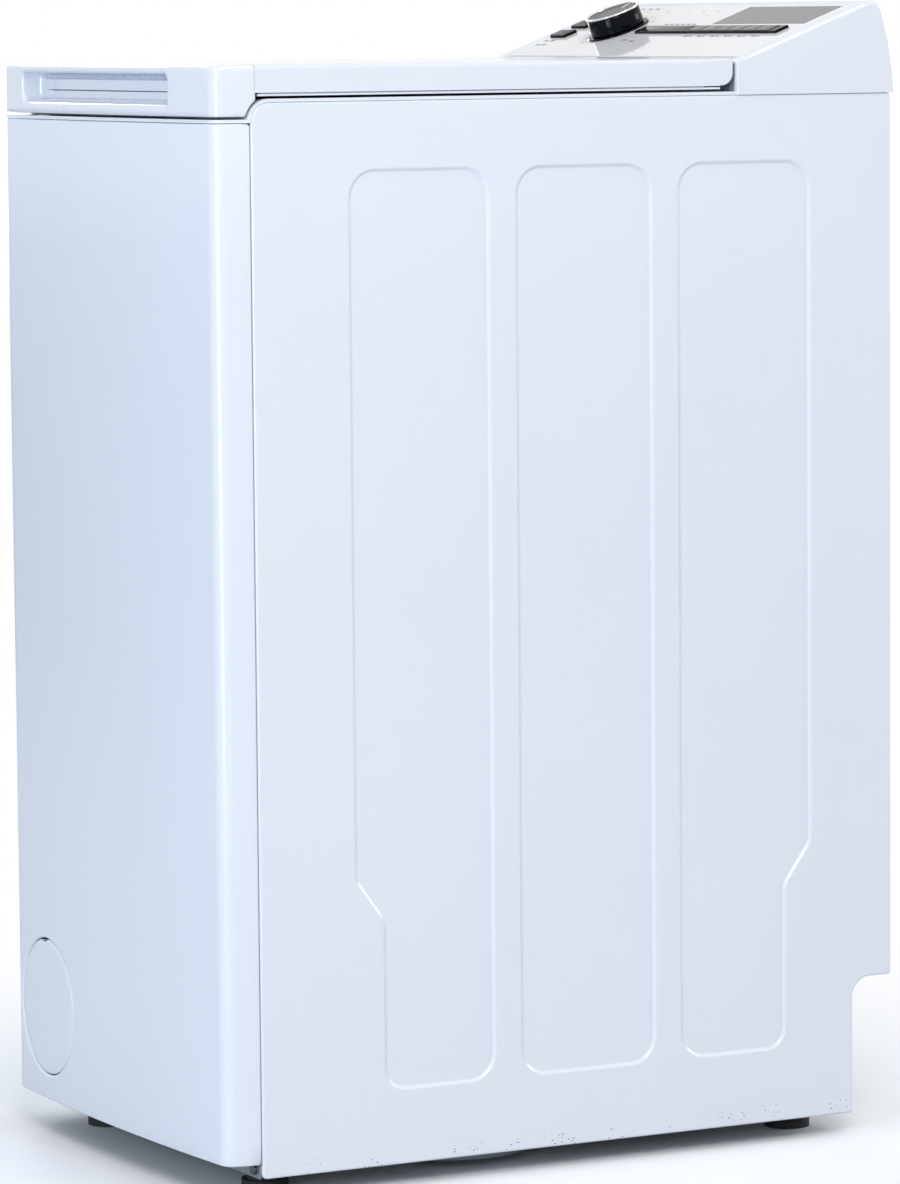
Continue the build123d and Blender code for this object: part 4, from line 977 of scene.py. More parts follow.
def finish_piece(piece: bpy.types.Object, finish: Finish, body: str, slot: str,
                 *nodes: str) -> bpy.types.Object:
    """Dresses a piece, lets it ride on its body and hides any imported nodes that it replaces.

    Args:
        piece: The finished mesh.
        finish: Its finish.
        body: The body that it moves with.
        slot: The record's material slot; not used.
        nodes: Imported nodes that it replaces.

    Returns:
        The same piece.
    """
    piece.data.materials.clear()
    piece.data.materials.append(finish.material())
    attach(piece, body)
    if nodes:
        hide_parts(*nodes)
    LOG.info("%s: %d faces on %s", piece.name, len(piece.data.polygons), body)
    return piece


def corner_values(node: str) -> tuple[Vector, Vector]:
    """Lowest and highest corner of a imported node."""
    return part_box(node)


def disc(node: str) -> tuple[Array, float]:
    """Middle in (X, Z) and radius of a packed disc that faces the front."""
    low, high = corner_values(node)
    return np.array([(low.x + high.x) / 2, (low.z + high.z) / 2]), (high.z - low.z) / 2


# Sheet metal


@dataclass
class SidePanel:
    """Folded side panel with three pressed fields.

    Args:
        node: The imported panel.
        sign: 1 for the right panel, -1 for the left.
        fold: Radius of the fold round the edge.
        flange: Width of the fold's return.
        wall: Thickness of the sheet.
        corner: Radius of the top front corner.
        foot_corner: Radius of the low front corner.
        small: Radius of the other corners.
        notch: Depth and height of the step at the lower rear.
        notch_corner: Radius in the step.
        field_width: Width of a pressed field.
        field_pitch: Distance between fields.
        field_shift: The middle field sits this far behind the panel's middle.
        margins: Panel's top edge to a field's top, and bottom edge to a field's bottom.
        press: Depth of a field.
        run: Width of the sloping wall round a field.
        radius: Corner radius of a field.
        step: How much the outer fields narrow, the height where that starts and its rise.
        shoulder: Corner radius of that step.
        margin: Width of the narrow flat strip along each edge of a flat stretch.
    """

    node: str
    sign: int
    fold: float = 1.8 * MM
    flange: float = 20 * MM
    wall: float = 0.8 * MM
    corner: float = 15 * MM
    foot_corner: float = 4 * MM
    small: float = 3 * MM
    notch: tuple[float, float] = (36 * MM, 109 * MM)
    notch_corner: float = 16 * MM
    field_width: float = 121.5 * MM
    field_pitch: float = 142.5 * MM
    field_shift: float = 3 * MM
    margins: tuple[float, float] = (50.5 * MM, 57 * MM)
    press: float = 1.6 * MM
    run: float = 3.4 * MM
    radius: float = 23 * MM
    step: tuple[float, float, float] = (24 * MM, 188.5 * MM, 33 * MM)
    shoulder: float = 15 * MM
    margin: float = 0.5 * MM

    def outline(self) -> Array:
        """The panel's edge.

        Returns:
            Rows of (Y, Z), anticlockwise seen from +X.
        """
        low, high = corner_values(self.node)
        notch_y, notch_z = high.y - self.notch[0], low.z + self.notch[1]
        return rounded_path([
            (low.y, low.z, self.foot_corner), (notch_y, low.z, self.small),
            (notch_y, notch_z, self.notch_corner), (high.y, notch_z, self.small),
            (high.y, high.z, self.small), (low.y, high.z, self.corner),
        ], 0.6 * MM)

    def field(self, number: int) -> Array:
        """Outline of one pressed field.

        Args:
            number: -1, 0 or 1 from front to rear.

        Returns:
            Rows of (Y, Z), anticlockwise seen from +X.
        """
        low, high = corner_values(self.node)
        centre = (low.y + high.y) / 2 + self.field_shift + number * self.field_pitch
        top, bottom = high.z - self.margins[0], low.z + self.margins[1]
        half, r = self.field_width / 2, self.radius
        if number == 0:
            corners = [(centre - half, bottom, r), (centre + half, bottom, r), (centre + half, top, r),
                       (centre - half, top, r)]
            return rounded_path(corners, 0.8 * MM)
        narrow, start, rise = self.step
        outer, inner = centre + number * half, centre + number * (half - narrow)
        straight = centre - number * half
        bend = low.z + start
        corners = [(straight, bottom, r), (inner, bottom, r * 0.8), (inner, bend, self.shoulder),
                   (outer, bend + rise, self.shoulder), (outer, top, r), (straight, top, r)]
        return rounded_path(corners if number > 0 else corners[::-1], 0.8 * MM)

    def build(self) -> bpy.types.Object:
        """Builds the panel.

        Each field's outline is carried inwards while the surface sinks by a smooth step; the
        panel's edge is carried round a quarter circle and back along the flange. Flat stretches
        between them are filled, each behind a narrow flat margin that keeps its shading true.

        Returns:
            The panel.
        """
        low, high = corner_values(self.node)
        face = high.x if self.sign > 0 else low.x
        draft = Draft()

        def put(path: Array, depth: Array | float) -> Array:
            """Lifts flat (Y, Z) points to the panel, sunk by a depth."""
            depth = np.broadcast_to(depth, path.shape[:-1])
            return np.concatenate([(face - self.sign * depth)[..., None], path], -1)

        holes = []
        for number in (-1, 0, 1):
            path = self.field(number)
            normal = side_normals(path)
            t = np.linspace(0, 1, 12)
            inset = np.concatenate([[-self.margin], t * self.run, [self.run + self.margin]])
            depth = np.concatenate([[0.0], smooth(t) * self.press, [self.press]])
            flat = path[:, None] - normal[:, None] * inset[None, :, None]
            draft.patch(put(flat, depth[None]), close_u=True)
            draft.fill([put(flat[:, -1], self.press)], (1, 2))
            holes.append(put(flat[:, 0], 0.0))
        edge = self.outline()
        normal = side_normals(edge)
        inset, drop = round_over(self.fold)
        inset = np.concatenate([[self.fold + self.margin], inset, [0.0]])
        drop = np.concatenate([[0.0], drop, [self.flange]])
        flat = edge[:, None] - normal[:, None] * inset[None, :, None]
        draft.patch(put(flat, drop[None]), close_u=True)
        draft.fill([put(flat[:, 0], 0.0), *holes], (1, 2))
        piece = draft.build(self.node + "_skin", sharp=40.0)
        self.face_outwards(piece)
        thicken(piece, self.wall)
        return finish_piece(piece, ENAMEL, "cabinet", "white_paint", self.node)

    def face_outwards(self, piece: bpy.types.Object) -> None:
        """Turns the faces over if the flat outside looks inwards.

        Args:
            piece: The panel.
        """
        normals = np.zeros(len(piece.data.polygons) * 3)
        areas = np.zeros(len(piece.data.polygons))
        piece.data.polygons.foreach_get("normal", normals)
        piece.data.polygons.foreach_get("area", areas)
        if (normals.reshape(-1, 3)[:, 0] * areas).sum() * self.sign < 0:
            piece.data.flip_normals()


@dataclass
class FrontPlan:
    """The bowed front seen from above: two tapered sides, two round corners and the bow.

    The path is worked out by distance from its right rear end. Its pieces are a line, an arc that
    touches the line and the bow, the bow's circle, and the mirror image of the first two.

    Args:
        side: X where the tapered side starts.
        rear: Y where it starts.
        apex: Y of the bow's middle.
        bow: How far the front bows out.
        taper: How far each corner sits inside the side.
        corner: Radius of the corners.
        lead: Length of straight side before the taper starts.
    """

    side: float
    rear: float
    apex: float
    bow: float = 6.5 * MM
    taper: float = 5.5 * MM
    corner: float = 12 * MM
    lead: float = 0.0
    table: Array = field(init=False)

    def __post_init__(self) -> None:
        """Works out the path's points, normals and distances once."""
        end_x, end_y = self.side - self.taper, self.apex + self.bow
        big = (end_x ** 2 + self.bow ** 2) / (2 * self.bow)
        start = np.array([self.side, self.rear - self.lead])
        along = np.array([end_x, end_y]) - start
        along /= np.linalg.norm(along)
        inner = np.array([along[1], -along[0]])
        hub = np.array([0.0, self.apex + big])
        base = start + inner * self.corner - hub
        b = base @ along
        c = base @ base - (big - self.corner) ** 2
        reach = -b + math.sqrt(b * b - c)
        centre = start + inner * self.corner + along * reach
        touch = start + along * reach
        spoke = centre - hub
        half = math.atan2(spoke[0], -spoke[1])
        line = start + np.linspace(0, 1, 40)[:, None] * (touch - start)
        line_normal = np.broadcast_to(-inner, line.shape)
        first = math.atan2(-inner[1], -inner[0])
        angle = np.linspace(first, half - math.pi / 2, 60)[1:]
        arc_normal = np.stack([np.cos(angle), np.sin(angle)], 1)
        arc = centre + arc_normal * self.corner
        swing = np.linspace(half, 0, 200)[1:]
        bow_normal = np.stack([np.sin(swing), -np.cos(swing)], 1)
        bow = hub + bow_normal * big
        points = np.concatenate([line, arc, bow])
        normals = np.concatenate([line_normal, arc_normal, bow_normal])
        if self.lead > 0:
            points = np.concatenate([[[self.side, self.rear]], points])
            normals = np.concatenate([[[1.0, 0.0]], normals])
        flip = np.array([-1, 1])
        points = np.concatenate([points, points[-2::-1] * flip])
        normals = np.concatenate([normals, normals[-2::-1] * flip])
        self.table = np.column_stack([distances(points), points, normals])

    @property
    def length(self) -> float:
        """Whole length of the path."""
        return float(self.table[-1, 0])

    @property
    def inner(self) -> float:
        """Distance along the path at which the first corner is past and the bow has begun."""
        return float(self.run_at(self.side - self.taper - self.corner * 1.4))

    def at(self, run: Array, inset: Array | float = 0.0) -> Array:
        """Points of the path.

        Args:
            run: Distances along it.
            inset: How far inside the path the points lie.

        Returns:
            (X, Y) points.
        """
        value = [np.interp(run, self.table[:, 0], self.table[:, i]) for i in range(1, 5)]
        return np.stack([value[0] - inset * value[2], value[1] - inset * value[3]], -1)

    def run_at(self, x: Array | float) -> Array:
        """Distance along the path at a given X."""
        return np.interp(-np.asarray(x), -self.table[:, 1], self.table[:, 0])

    def surface(self, run: Array, z: Array, inset: Array | float = 0.0) -> Array:
        """Points of the upright surface over the path."""
        run, z, inset = np.broadcast_arrays(run, z, inset)
        return np.concatenate([self.at(run, inset), z[..., None]], -1)

    def front(self, flat: Array, inset: Array | float = 0.0) -> Array:
        """Points of that surface over flat (X, Z) points."""
        return self.surface(self.run_at(flat[..., 0]), flat[..., 1], inset)


def door_plan() -> FrontPlan:
    """The plan of the front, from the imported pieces.

    Returns:
        The plan.
    """
    panel_low, _ = corner_values("front_panel")
    side_low, side_high = corner_values("side_panel_right")
    return FrontPlan(side_high.x, side_low.y, panel_low.y)


def lid_plan() -> FrontPlan:
    """The plan of the lid's front, which runs straight from its seam to the front's taper.

    Returns:
        The plan.
    """
    grip_low, grip_high = corner_values("lid_grip")
    side_low, side_high = corner_values("side_panel_right")
    return FrontPlan(side_high.x, grip_high.y, grip_low.y, lead=grip_high.y - side_low.y)


@dataclass
class FrontPanel:
    """Bowed front sheet with folded edges and a rolled hole for the filter cover.

    Args:
        plan: Plan of the front.
        fold: Radius of the folds.
        turn_in: Width of the folded returns.
        wall: Thickness of the sheet.
        gap: Cover to hole.
        roll: Radius of the hole's rolled edge.
        hole_wall: Depth of the wall behind that roll.
        apron: Width of the patch round the roll.
        seam: Gap to the side panels.
    """

    plan: FrontPlan
    fold: float = 1.6 * MM
    turn_in: float = 9 * MM
    wall: float = 0.8 * MM
    gap: float = 0.8 * MM
    roll: float = 1.7 * MM
    hole_wall: float = 6 * MM
    apron: float = 3.4 * MM
    seam: float = 0.95 * MM

    def build(self) -> bpy.types.Object:
        """Builds the panel: upright grids over the plan, a ring patch round the hole and its roll.

        Returns:
            The panel.
        """
        low, high = corner_values("front_panel")
        centre, cover_radius = disc("filter_cover")
        radius = cover_radius + self.gap
        reach = radius + self.apron
        plan = self.plan
        box_x = lines(centre[0] - reach, centre[0] + reach, step=[4 * MM])
        box_z = lines(centre[1] - reach, centre[1] + reach, step=[4 * MM])
        left, right = float(plan.run_at(box_x[0])), float(plan.run_at(box_x[-1]))
        total = plan.length
        start = self.seam + self.fold
        fine = plan.corner * 0.12
        first = lines(start, 10 * MM, plan.inner, right, step=[5 * MM, fine, 8 * MM])
        middle = plan.run_at(box_x[::-1])
        last = lines(left, total - start, step=[fine])
        runs = np.concatenate([first, middle[1:-1], last])
        top, bottom = high.z - self.fold, low.z + self.fold
        heights = np.concatenate([[bottom], box_z, lines(box_z[-1], top, step=[60 * MM])[1:]])
        grid = plan.surface(runs[:, None], heights[None])
        a, b = len(first) - 1, len(first) + len(middle) - 2
        draft = Draft()
        for part in (grid[: a + 1], grid[b:], grid[a: b + 1, :2], grid[a: b + 1, len(box_z):]):
            draft.patch(part)
        mesh = ring_between(rectangle_ring(box_x, box_z), (centre[0], centre[0], centre[1], centre[1]),
                            radius + self.roll, np.linspace(0, 1, 5))
        draft.patch(plan.front(mesh), close_u=True)
        roll_in, roll_down = round_over(self.roll)
        spokes = mesh[:, 0] - centre
        spokes /= np.linalg.norm(spokes, axis=1, keepdims=True)
        hole = centre + spokes[:, None] * (radius + np.append(roll_in, 0.0))[None, :, None]
        draft.patch(plan.front(hole, np.append(roll_down, self.hole_wall)[None]), close_u=True)
        in_fold, out = folded(self.fold, self.turn_in)
        for edge, sign in ((top, 1), (bottom, -1)):
            draft.patch(plan.surface(runs[:, None], edge + sign * out[None], in_fold[None]))
        for end, sign in ((start, -1), (total - start, 1)):
            run = np.clip(end + sign * out, 0, total)
            draft.patch(plan.surface(run[None], heights[:, None], in_fold[None]))
        piece = draft.build("front_panel_skin", sharp=40.0)
        thicken(piece, self.wall)
        return finish_piece(piece, ENAMEL, "cabinet", "white_paint", "front_panel")


@dataclass
class FilterCover:
    """Round cover that lies flush in the bowed front, with a finger notch at its top.

    Args:
        plan: Plan of the front.
        edge: Radius of its rim.
        skirt: Depth of its rim.
        notch: Half angle, in radians, and depth of the finger notch.
        notch_at: Where the notch is, in degrees from +X.
        sink: How far it lies behind the front's surface.
    """

    plan: FrontPlan
    edge: float = 2.0 * MM
    skirt: float = 9 * MM
    notch: tuple[float, float] = (0.10, 2.2 * MM)
    notch_at: float = 97.0
    sink: float = 0.25 * MM

    def build(self) -> bpy.types.Object:
        """Builds the cover: rings of one radius each, bent over the plan.

        Returns:
            The cover.
        """
        centre, radius = disc("filter_cover")
        angle = np.linspace(0, 2 * math.pi, 160, endpoint=False)
        away = np.abs((angle - math.radians(self.notch_at) + math.pi) % (2 * math.pi) - math.pi)
        rim = (radius - self.notch[1] * smooth(1.6 - away / self.notch[0]))[:, None]
        inset, drop = round_over(self.edge)
        face = np.array([0.0, 0.3, 0.6, 0.85])
        shrink = np.concatenate([inset, [0.0, self.edge]])
        reach = np.concatenate([rim * face, rim - shrink], 1)
        depth = np.concatenate([np.zeros(len(face)), drop, [self.skirt, self.skirt]])
        flat = centre + np.stack([np.cos(angle), np.sin(angle)], 1)[:, None] * reach[..., None]
        skin = self.plan.front(flat, self.sink + depth[None])
        back = self.plan.front(np.broadcast_to(centre, (len(angle), 1, 2)), self.skirt - 1 * MM)
        draft = Draft()
        draft.patch(skin, close_u=True)
        draft.patch(np.concatenate([skin[:, -1:], back], 1), close_u=True)
        piece = draft.build("filter_cover_skin", sharp=40.0)
        return finish_piece(piece, ENAMEL, "filter_cover", "white_plastic", "filter_cover")


# Lid


@dataclass
class LidShell:
    """Outer cover of the lid behind its grip: a moulded tray upside down.

    Args:
        edge: Radius along the top's sides.
        rear_top: Radius of the rear's top edge.
        rear_low: Radius of the lower rear corner, seen from the side.
        foot: How far the rear wall turns in under that corner.
        wall: Thickness.
        overlap: How far the cover closes up to the grip.
        reach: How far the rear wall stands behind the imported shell's.
        notch: Lowest and highest distance from the middle of the rear wall's two hinge notches.
        soft: Width of the bevel on its free edges.
    """

    edge: float = 3.6 * MM
    rear_top: float = 3.5 * MM
    rear_low: float = 10 * MM
    foot: float = 2 * MM
    wall: float = 2.4 * MM
    overlap: float = 0.3 * MM
    reach: float = 1.2 * MM
    notch: tuple[float, float] = (148.5 * MM, 163.5 * MM)
    soft: float = 0.5 * MM

    def build(self) -> bpy.types.Object:
        """Builds the cover: the side outline is carried across, turning in at both ends.

        Returns:
            The cover.
        """
        low, high = corner_values("lid_shell")
        low.y -= self.overlap
        high.y += self.reach
        foot = high.y - self.rear_low - self.foot
        path = smoothed([(low.y, high.z, 0), (high.y, high.z, self.rear_top), (high.y, low.z, self.rear_low),
                         (foot, low.z, 0)])
        start = lines(low.y, path[1, 0], step=[30 * MM])[:-1]
        path = np.concatenate([np.column_stack([start, np.full(len(start), high.z)]), path[1:]])
        normal = -side_normals(path, closed=False)
        angle = np.linspace(0, math.pi / 2, 8)
        turn_in = np.append(self.edge * 1.15, self.edge * (1 - np.cos(angle))[::-1])
        side = high.x - self.edge + self.edge * np.append(1.0, np.sin(angle)[::-1])
        weight = 1.0 - 0.7 * smooth((distances(path) - (high.y - low.y) + 14 * MM) / (12 * MM))
        near, far = self.notch
        flat = lines(side[-1], far, near, -near, -far, -side[-1], step=[25 * MM])[1:-1]
        across = np.concatenate([side, flat, -side[::-1]])
        sunk = np.concatenate([turn_in, np.zeros(len(flat)), turn_in[::-1]])
        grid = carried(across, path[None] - normal[None] * sunk[:, None, None] * weight[None, :, None])
        draft = Draft()
        cuts = [int(np.argmin(np.abs(across - x))) for x in (far, near, -near, -far)]
        wall_rows = np.flatnonzero(np.abs(path[:, 0] - high.y) < 1e-6)
        columns = [0, *cuts, len(across) - 1]
        for number, (a, b) in enumerate(zip(columns, columns[1:])):
            if number % 2:
                draft.patch(grid[a:b + 1, :wall_rows[0] + 1])
                draft.patch(grid[a:b + 1, wall_rows[-1]:])
            else:
                draft.patch(grid[a:b + 1])
        for rim in (grid[0], grid[-1]):
            base = np.array([[rim[0, 0], foot, low.z], [rim[0, 0], low.y, low.z]])
            draft.fill([np.concatenate([rim, base[1:] if np.allclose(rim[-1], base[0]) else base])], (1, 2))
        piece = draft.build("lid_shell_skin", sharp=40.0)
        thicken(piece, self.wall)
        soften = piece.modifiers.new("edge", "BEVEL")
        soften.width = self.soft
        soften.segments = 2
        soften.limit_method = "ANGLE"
        soften.angle_limit = math.radians(50)
        even_normals(piece)
        return finish_piece(piece, MOULDING, "lid", "white_plastic", "lid_shell")


@dataclass
class LidGrip:
    """Front of the lid, which wraps both corners and holds the hand recess with its rolled lip.

    Args:
        plan: Plan of the front.
        edge: Radius of the top edge.
        low_edge: Radius of the bottom edge.
        turn_in: Width of the return under it.
        wall: Thickness.
        recess: X low, X high, and the gaps from the lid's top to the recess's top and bottom.
        corner: Corner radius of the recess.
        rim: Radius of the recess's rolled rim.
        sill: How much broader the rim is along the bottom.
        depth: Depth of the recess.
        slant: How far the recess draws in on its left, right and bottom.
        undercut: How far the recess's roof rises behind the lip.
        seam: Drop and depth of the seam in the back wall, which is below its middle.
        sweep: Radius and centre, behind the front edge of the side panel and below its top, of the
            curve along which the grip's lower rear corners rise.
        bulge: How far the lip over the recess stands out.
        lip: Radius, seen from the side, of that lip's top.
        groove: Depth and width of the grooves at its ends.
        rib_pitch: Distance between the recess's ribs.
        rib_height: How far they stand out.
    """

    plan: FrontPlan
    edge: float = 4.5 * MM
    low_edge: float = 1.6 * MM
    turn_in: float = 6 * MM
    wall: float = 1.2 * MM
    recess: tuple[float, float, float, float] = (-150 * MM, 122 * MM, 7 * MM, 32.5 * MM)
    corner: float = 5.5 * MM
    rim: float = 2.0 * MM
    sill: float = 3.8 * MM
    depth: float = 17 * MM
    slant: tuple[float, float, float] = (8 * MM, 4 * MM, 2.5 * MM)
    undercut: float = 2.2 * MM
    seam: tuple[float, float] = (3.6 * MM, 3 * MM)
    sweep: tuple[float, float] = (19.5 * MM, 15 * MM)
    bulge: float = 0.9 * MM
    lip: float = 8 * MM
    groove: tuple[float, float] = (0.45 * MM, 0.5 * MM)
    rib_pitch: float = 4.1 * MM
    rib_height: float = 0.8 * MM

    def bottom(self, run: Array) -> Array:
        """Height of the grip's lower edge, which rises along a circle at the side panels' corners.

        Args:
            run: Distances along the plan.

        Returns:
            The heights.
        """
        low, _ = corner_values("lid_grip")
        side_low, side_high = corner_values("side_panel_right")
        y = self.plan.at(run)[..., 1]
        radius, corner = self.sweep
        away = np.abs(y - (side_low.y + corner))
        rise = side_high.z - corner + np.sqrt(np.maximum(radius ** 2 - away ** 2, 0.0))
        return np.where(away < radius, np.maximum(rise, low.z), low.z)

    def relief(self, x: Array, weight: Array) -> Array:
        """How far the surface stands out: the lip between two fine grooves.

        Args:
            x: X of the points.
            weight: Share of the relief that shows.

        Returns:
            The distances.
        """
        left, right = self.recess[:2]
        depth, width = self.groove
        lip = window(x, left + 0.9 * MM, right - 0.9 * MM, 1.6 * MM) * self.bulge
        grooves = np.exp(-((x - left) / width) ** 2) + np.exp(-((x - right) / width) ** 2)
        return (lip - depth * grooves) * weight

    def build(self) -> list[bpy.types.Object]:
        """Builds the grip, its recess and its ribs.

        The front is upright grids over the plan with a ring patch round the recess. The recess is
        its rim carried back while it draws in, most on the left, where the end wall slants.

        Returns:
            The grip, the ribs and the strip of painted shade behind them.
        """
        _, high = corner_values("lid_grip")
        plan = self.plan
        total = plan.length
        left, right, under_top, under_bottom = self.recess
        rim_top, rim_bottom = high.z - under_top, high.z - under_bottom
        margin = 5 * MM
        fine, dense = 0.45 * MM, 1.2 * MM
        box_x = lines(left - margin, left - 2 * MM, left + 2.5 * MM, left + 12 * MM, right - 12 * MM,
                      right - 2.5 * MM, right + 2 * MM, right + margin,
                      step=[dense, fine, dense, 6 * MM, dense, fine, dense])
        reach = self.rim + 0.5 * MM
        box_z = lines(rim_bottom - reach, rim_bottom + 7 * MM, rim_top - 7 * MM, rim_top + reach,
                      step=[0.9 * MM, 2 * MM, 0.9 * MM])
        inner = plan.inner
        outer = float(plan.run_at(plan.side - 0.7 * plan.taper))
        steps = [dense, plan.corner * 0.1, 6 * MM]
        before = lines(0.0, outer, inner, float(plan.run_at(box_x[-1])), step=steps)
        middle = plan.run_at(box_x[::-1])
        after = lines(float(plan.run_at(box_x[0])), total - inner, total - outer, total, step=steps[::-1])
        runs = np.concatenate([before, middle[1:-1], after])
        bottom = self.bottom(runs)[:, None] + self.low_edge
        rows = np.append(0.0, (box_z - box_z[0]) / (box_z[-1] - box_z[0]))
        raised = bottom + rows * (box_z[-1] - bottom) * (bottom > box_z[0])
        heights = np.maximum(box_z[0] + rows * (box_z[-1] - box_z[0]), raised)
        heights[:, :1] = bottom
        heights[:, -1] = box_z[-1]
        grid = plan.surface(runs[:, None], heights)
        a, b = len(before) - 1, len(before) + len(middle) - 2
        draft = Draft()
        for part in (grid[: a + 1], grid[b:], grid[a: b + 1, :2]):
            draft.patch(part)
        core = (left + self.corner, right - self.corner, rim_bottom + self.corner, rim_top - self.corner)
        mesh = ring_between(rectangle_ring(box_x, box_z), core, self.corner + self.rim,
                            np.array([0, 0.35, 0.7, 1.0]))
        draft.patch(plan.front(mesh), close_u=True)
        hole_bottom = rim_bottom + self.sill
        self.add_recess(draft, mesh[:, 0], (*core[:2], hole_bottom + self.corner, core[3]),
                        (left, right, hole_bottom, rim_top))
        self.add_top(draft, runs, box_z[-1], high.z, high.y)
        in_fold, down = folded(self.low_edge, self.turn_in)
        draft.patch(plan.surface(runs[:, None], bottom - down[None], in_fold[None]))
        piece = draft.build("lid_grip_skin", sharp=42.0)
        thicken(piece, self.wall)
        finish_piece(piece, MOULDING, "lid", "white_plastic", "lid_grip")
        return [piece, *self.ribs(left, right, rim_top)]

    def add_top(self, draft: Draft, runs: Array, from_z: float, top: float, seam: float) -> None:
        """Adds the rolled top edge, which bulges over the recess, and the flat top behind it.

        Args:
            draft: The mesh in progress.
            runs: Distances of the columns.
            from_z: Height at which the roll takes over from the face.
            top: Height of the lid's top.
            seam: Y of the rear edge.
        """
        plan = self.plan
        x = plan.at(runs)[:, :1]
        t = np.linspace(0, 1, 14)
        over = window(x, self.recess[0], self.recess[1], 1.2 * MM)
        rise = top - from_z
        angle = t * math.pi / 2
        plain_in, plain_up = self.edge * (1 - np.cos(angle)), rise - self.edge + self.edge * np.sin(angle)
        plain_up = np.where(t == 0, 0.0, plain_up)
        roll_in, roll_up = self.lip * (1 - np.cos(angle)), rise * np.sin(angle)
        inset = plain_in * (1 - over) + roll_in * over
        up = plain_up * (1 - over) + roll_up * over
        out = self.relief(x, np.sin(np.clip(t * 1.2, 0, 1) * math.pi))
        grid = plan.surface(runs[:, None], from_z + np.minimum(up, rise), np.maximum(inset - out, 0.0))
        draft.patch(grid)
        back = grid[:, -1:].copy()
        back[:, 0, 1] = seam
        back[:, 0, 0] = np.clip(back[:, 0, 0], grid[-1, -1, 0], grid[0, -1, 0])
        draft.patch(np.concatenate([grid[:, -1:], back], 1))

    def add_recess(self, draft: Draft, mouth: Array, core: tuple[float, float, float, float],
                   hole: tuple[float, float, float, float]) -> None:
        """Adds the rim and the hollow behind it.

        Args:
            draft: The mesh in progress.
            mouth: Closed ring of (X, Z) where the rim starts.
            core: Core of the recess's outline.
            hole: X low, X high, Z low and Z high of the recess.
        """
        nearest = nearest_in(core, mouth)
        away = mouth - nearest
        distance = np.linalg.norm(away, axis=1, keepdims=True)
        away /= distance
        radius = distance - self.corner
        roll_in, roll_down = round_over(1.0, 9)
        rim = nearest[:, None] + away[:, None] * (self.corner + radius * roll_in[None])[..., None]
        wall = nearest + away * self.corner
        t = np.linspace(0, 1, 16)[1:]
        depth = radius + t[None] * (self.depth - radius)
        centre_x, centre_z = (hole[0] + hole[1]) / 2, (hole[2] + hole[3]) / 2
        from_left, from_right, from_low, from_top = (
            np.clip(share, 0, 1)[:, None] ** power
            for share, power in (((centre_x - wall[:, 0]) / (centre_x - hole[0]), 6),
                                 ((wall[:, 0] - centre_x) / (hole[1] - centre_x), 6),
                                 ((centre_z - wall[:, 1]) / (centre_z - hole[2]), 2),
                                 ((wall[:, 1] - centre_z) / (hole[3] - centre_z), 8)))
        bend = 1 - np.sqrt(1 - (t * 0.98) ** 2)
        in_left, in_right, in_low = self.slant
        shift_x = in_left * from_left * bend - in_right * from_right * bend
        shift_z = in_low * from_low * bend + self.undercut * from_top * window(t, 0.04, 0.60, 0.08)
        inner = np.stack([wall[:, :1] + shift_x, wall[:, 1:] + shift_z], -1)
        flat = np.concatenate([rim, inner], 1)
        draft.patch(self.plan.front(flat, np.concatenate([radius * roll_down[None], depth], 1)), close_u=True)
        back = flat[:, -1]
        shrink = np.array([0, 0.3, 0.6, 0.85, 0.95, 1.0])[:, None]
        low, high = back[:, 0].min() + 6 * MM, back[:, 0].max() - 6 * MM
        level = back[:, 1].mean() - self.seam[0]
        mid_line = np.stack([np.clip(back[:, 0], low, high), np.full(len(back), level)], 1)
        fan = back[:, None] + (mid_line - back)[:, None] * shrink[None]
        groove = np.zeros(fan.shape[:2])
        groove[:, -1] = self.seam[1]
        draft.patch(self.plan.front(fan, self.depth + groove), close_u=True)

    def ribs(self, left: float, right: float, top: float) -> list[bpy.types.Object]:
        """Strip of painted shade high on the recess's back wall, and the fine upright ribs on it.

        The strip and each rib share one profile, which hangs from the lip and curves back into the
        wall; the ribs stand a little in front of the strip.

        Args:
            left: X where the recess starts.
            right: X where it ends.
            top: Height of the recess's top.

        Returns:
            The ribs and the strip of painted shade.
        """
        plan, wall = self.plan, self.depth + 0.2 * MM
        face, above, half = wall - 2.6 * MM, top + 1.6 * MM, 0.7 * MM
        bend, end = (face, top - 3.2 * MM, 1.5 * MM), (wall, top - 5.6 * MM, 0)
        front = smoothed([(face, above, 0), bend, end], 0.8 * MM)
        loop = np.concatenate([front, [(wall, above), front[0]]])
        strip, ribs = Draft(), Draft()
        spans = [(strip, left + 10 * MM, right - 2 * MM, 40, 0.0)]
        spans += [(ribs, x - half, x + half, 2, self.rib_height)
                  for x in np.arange(left + 13 * MM, right - 3 * MM, self.rib_pitch)]
        for draft, start, end, count, stand in spans:
            run = plan.run_at(np.linspace(start, end, count))
            inset = np.where(loop[:, 0] < wall, loop[:, 0] - stand, wall)
            skin = plan.surface(run[:, None], loop[None, :, 1], inset[None])
            draft.patch(skin)
            for ring in (skin[0], skin[-1]):
                draft.patch(np.stack([ring, np.broadcast_to(ring[:-1].mean(0), ring.shape)]))
        # The strip's dark blue finish is painted shade under the lip
        return [finish_piece(ribs.build("lid_grip_ribs", sharp=50.0), MOULDING, "lid", "white_plastic"),
                finish_piece(strip.build("lid_grip_shade_strip", sharp=50.0), PAINTED_RECESS_SHADE, "lid", "white_plastic")]


# Console


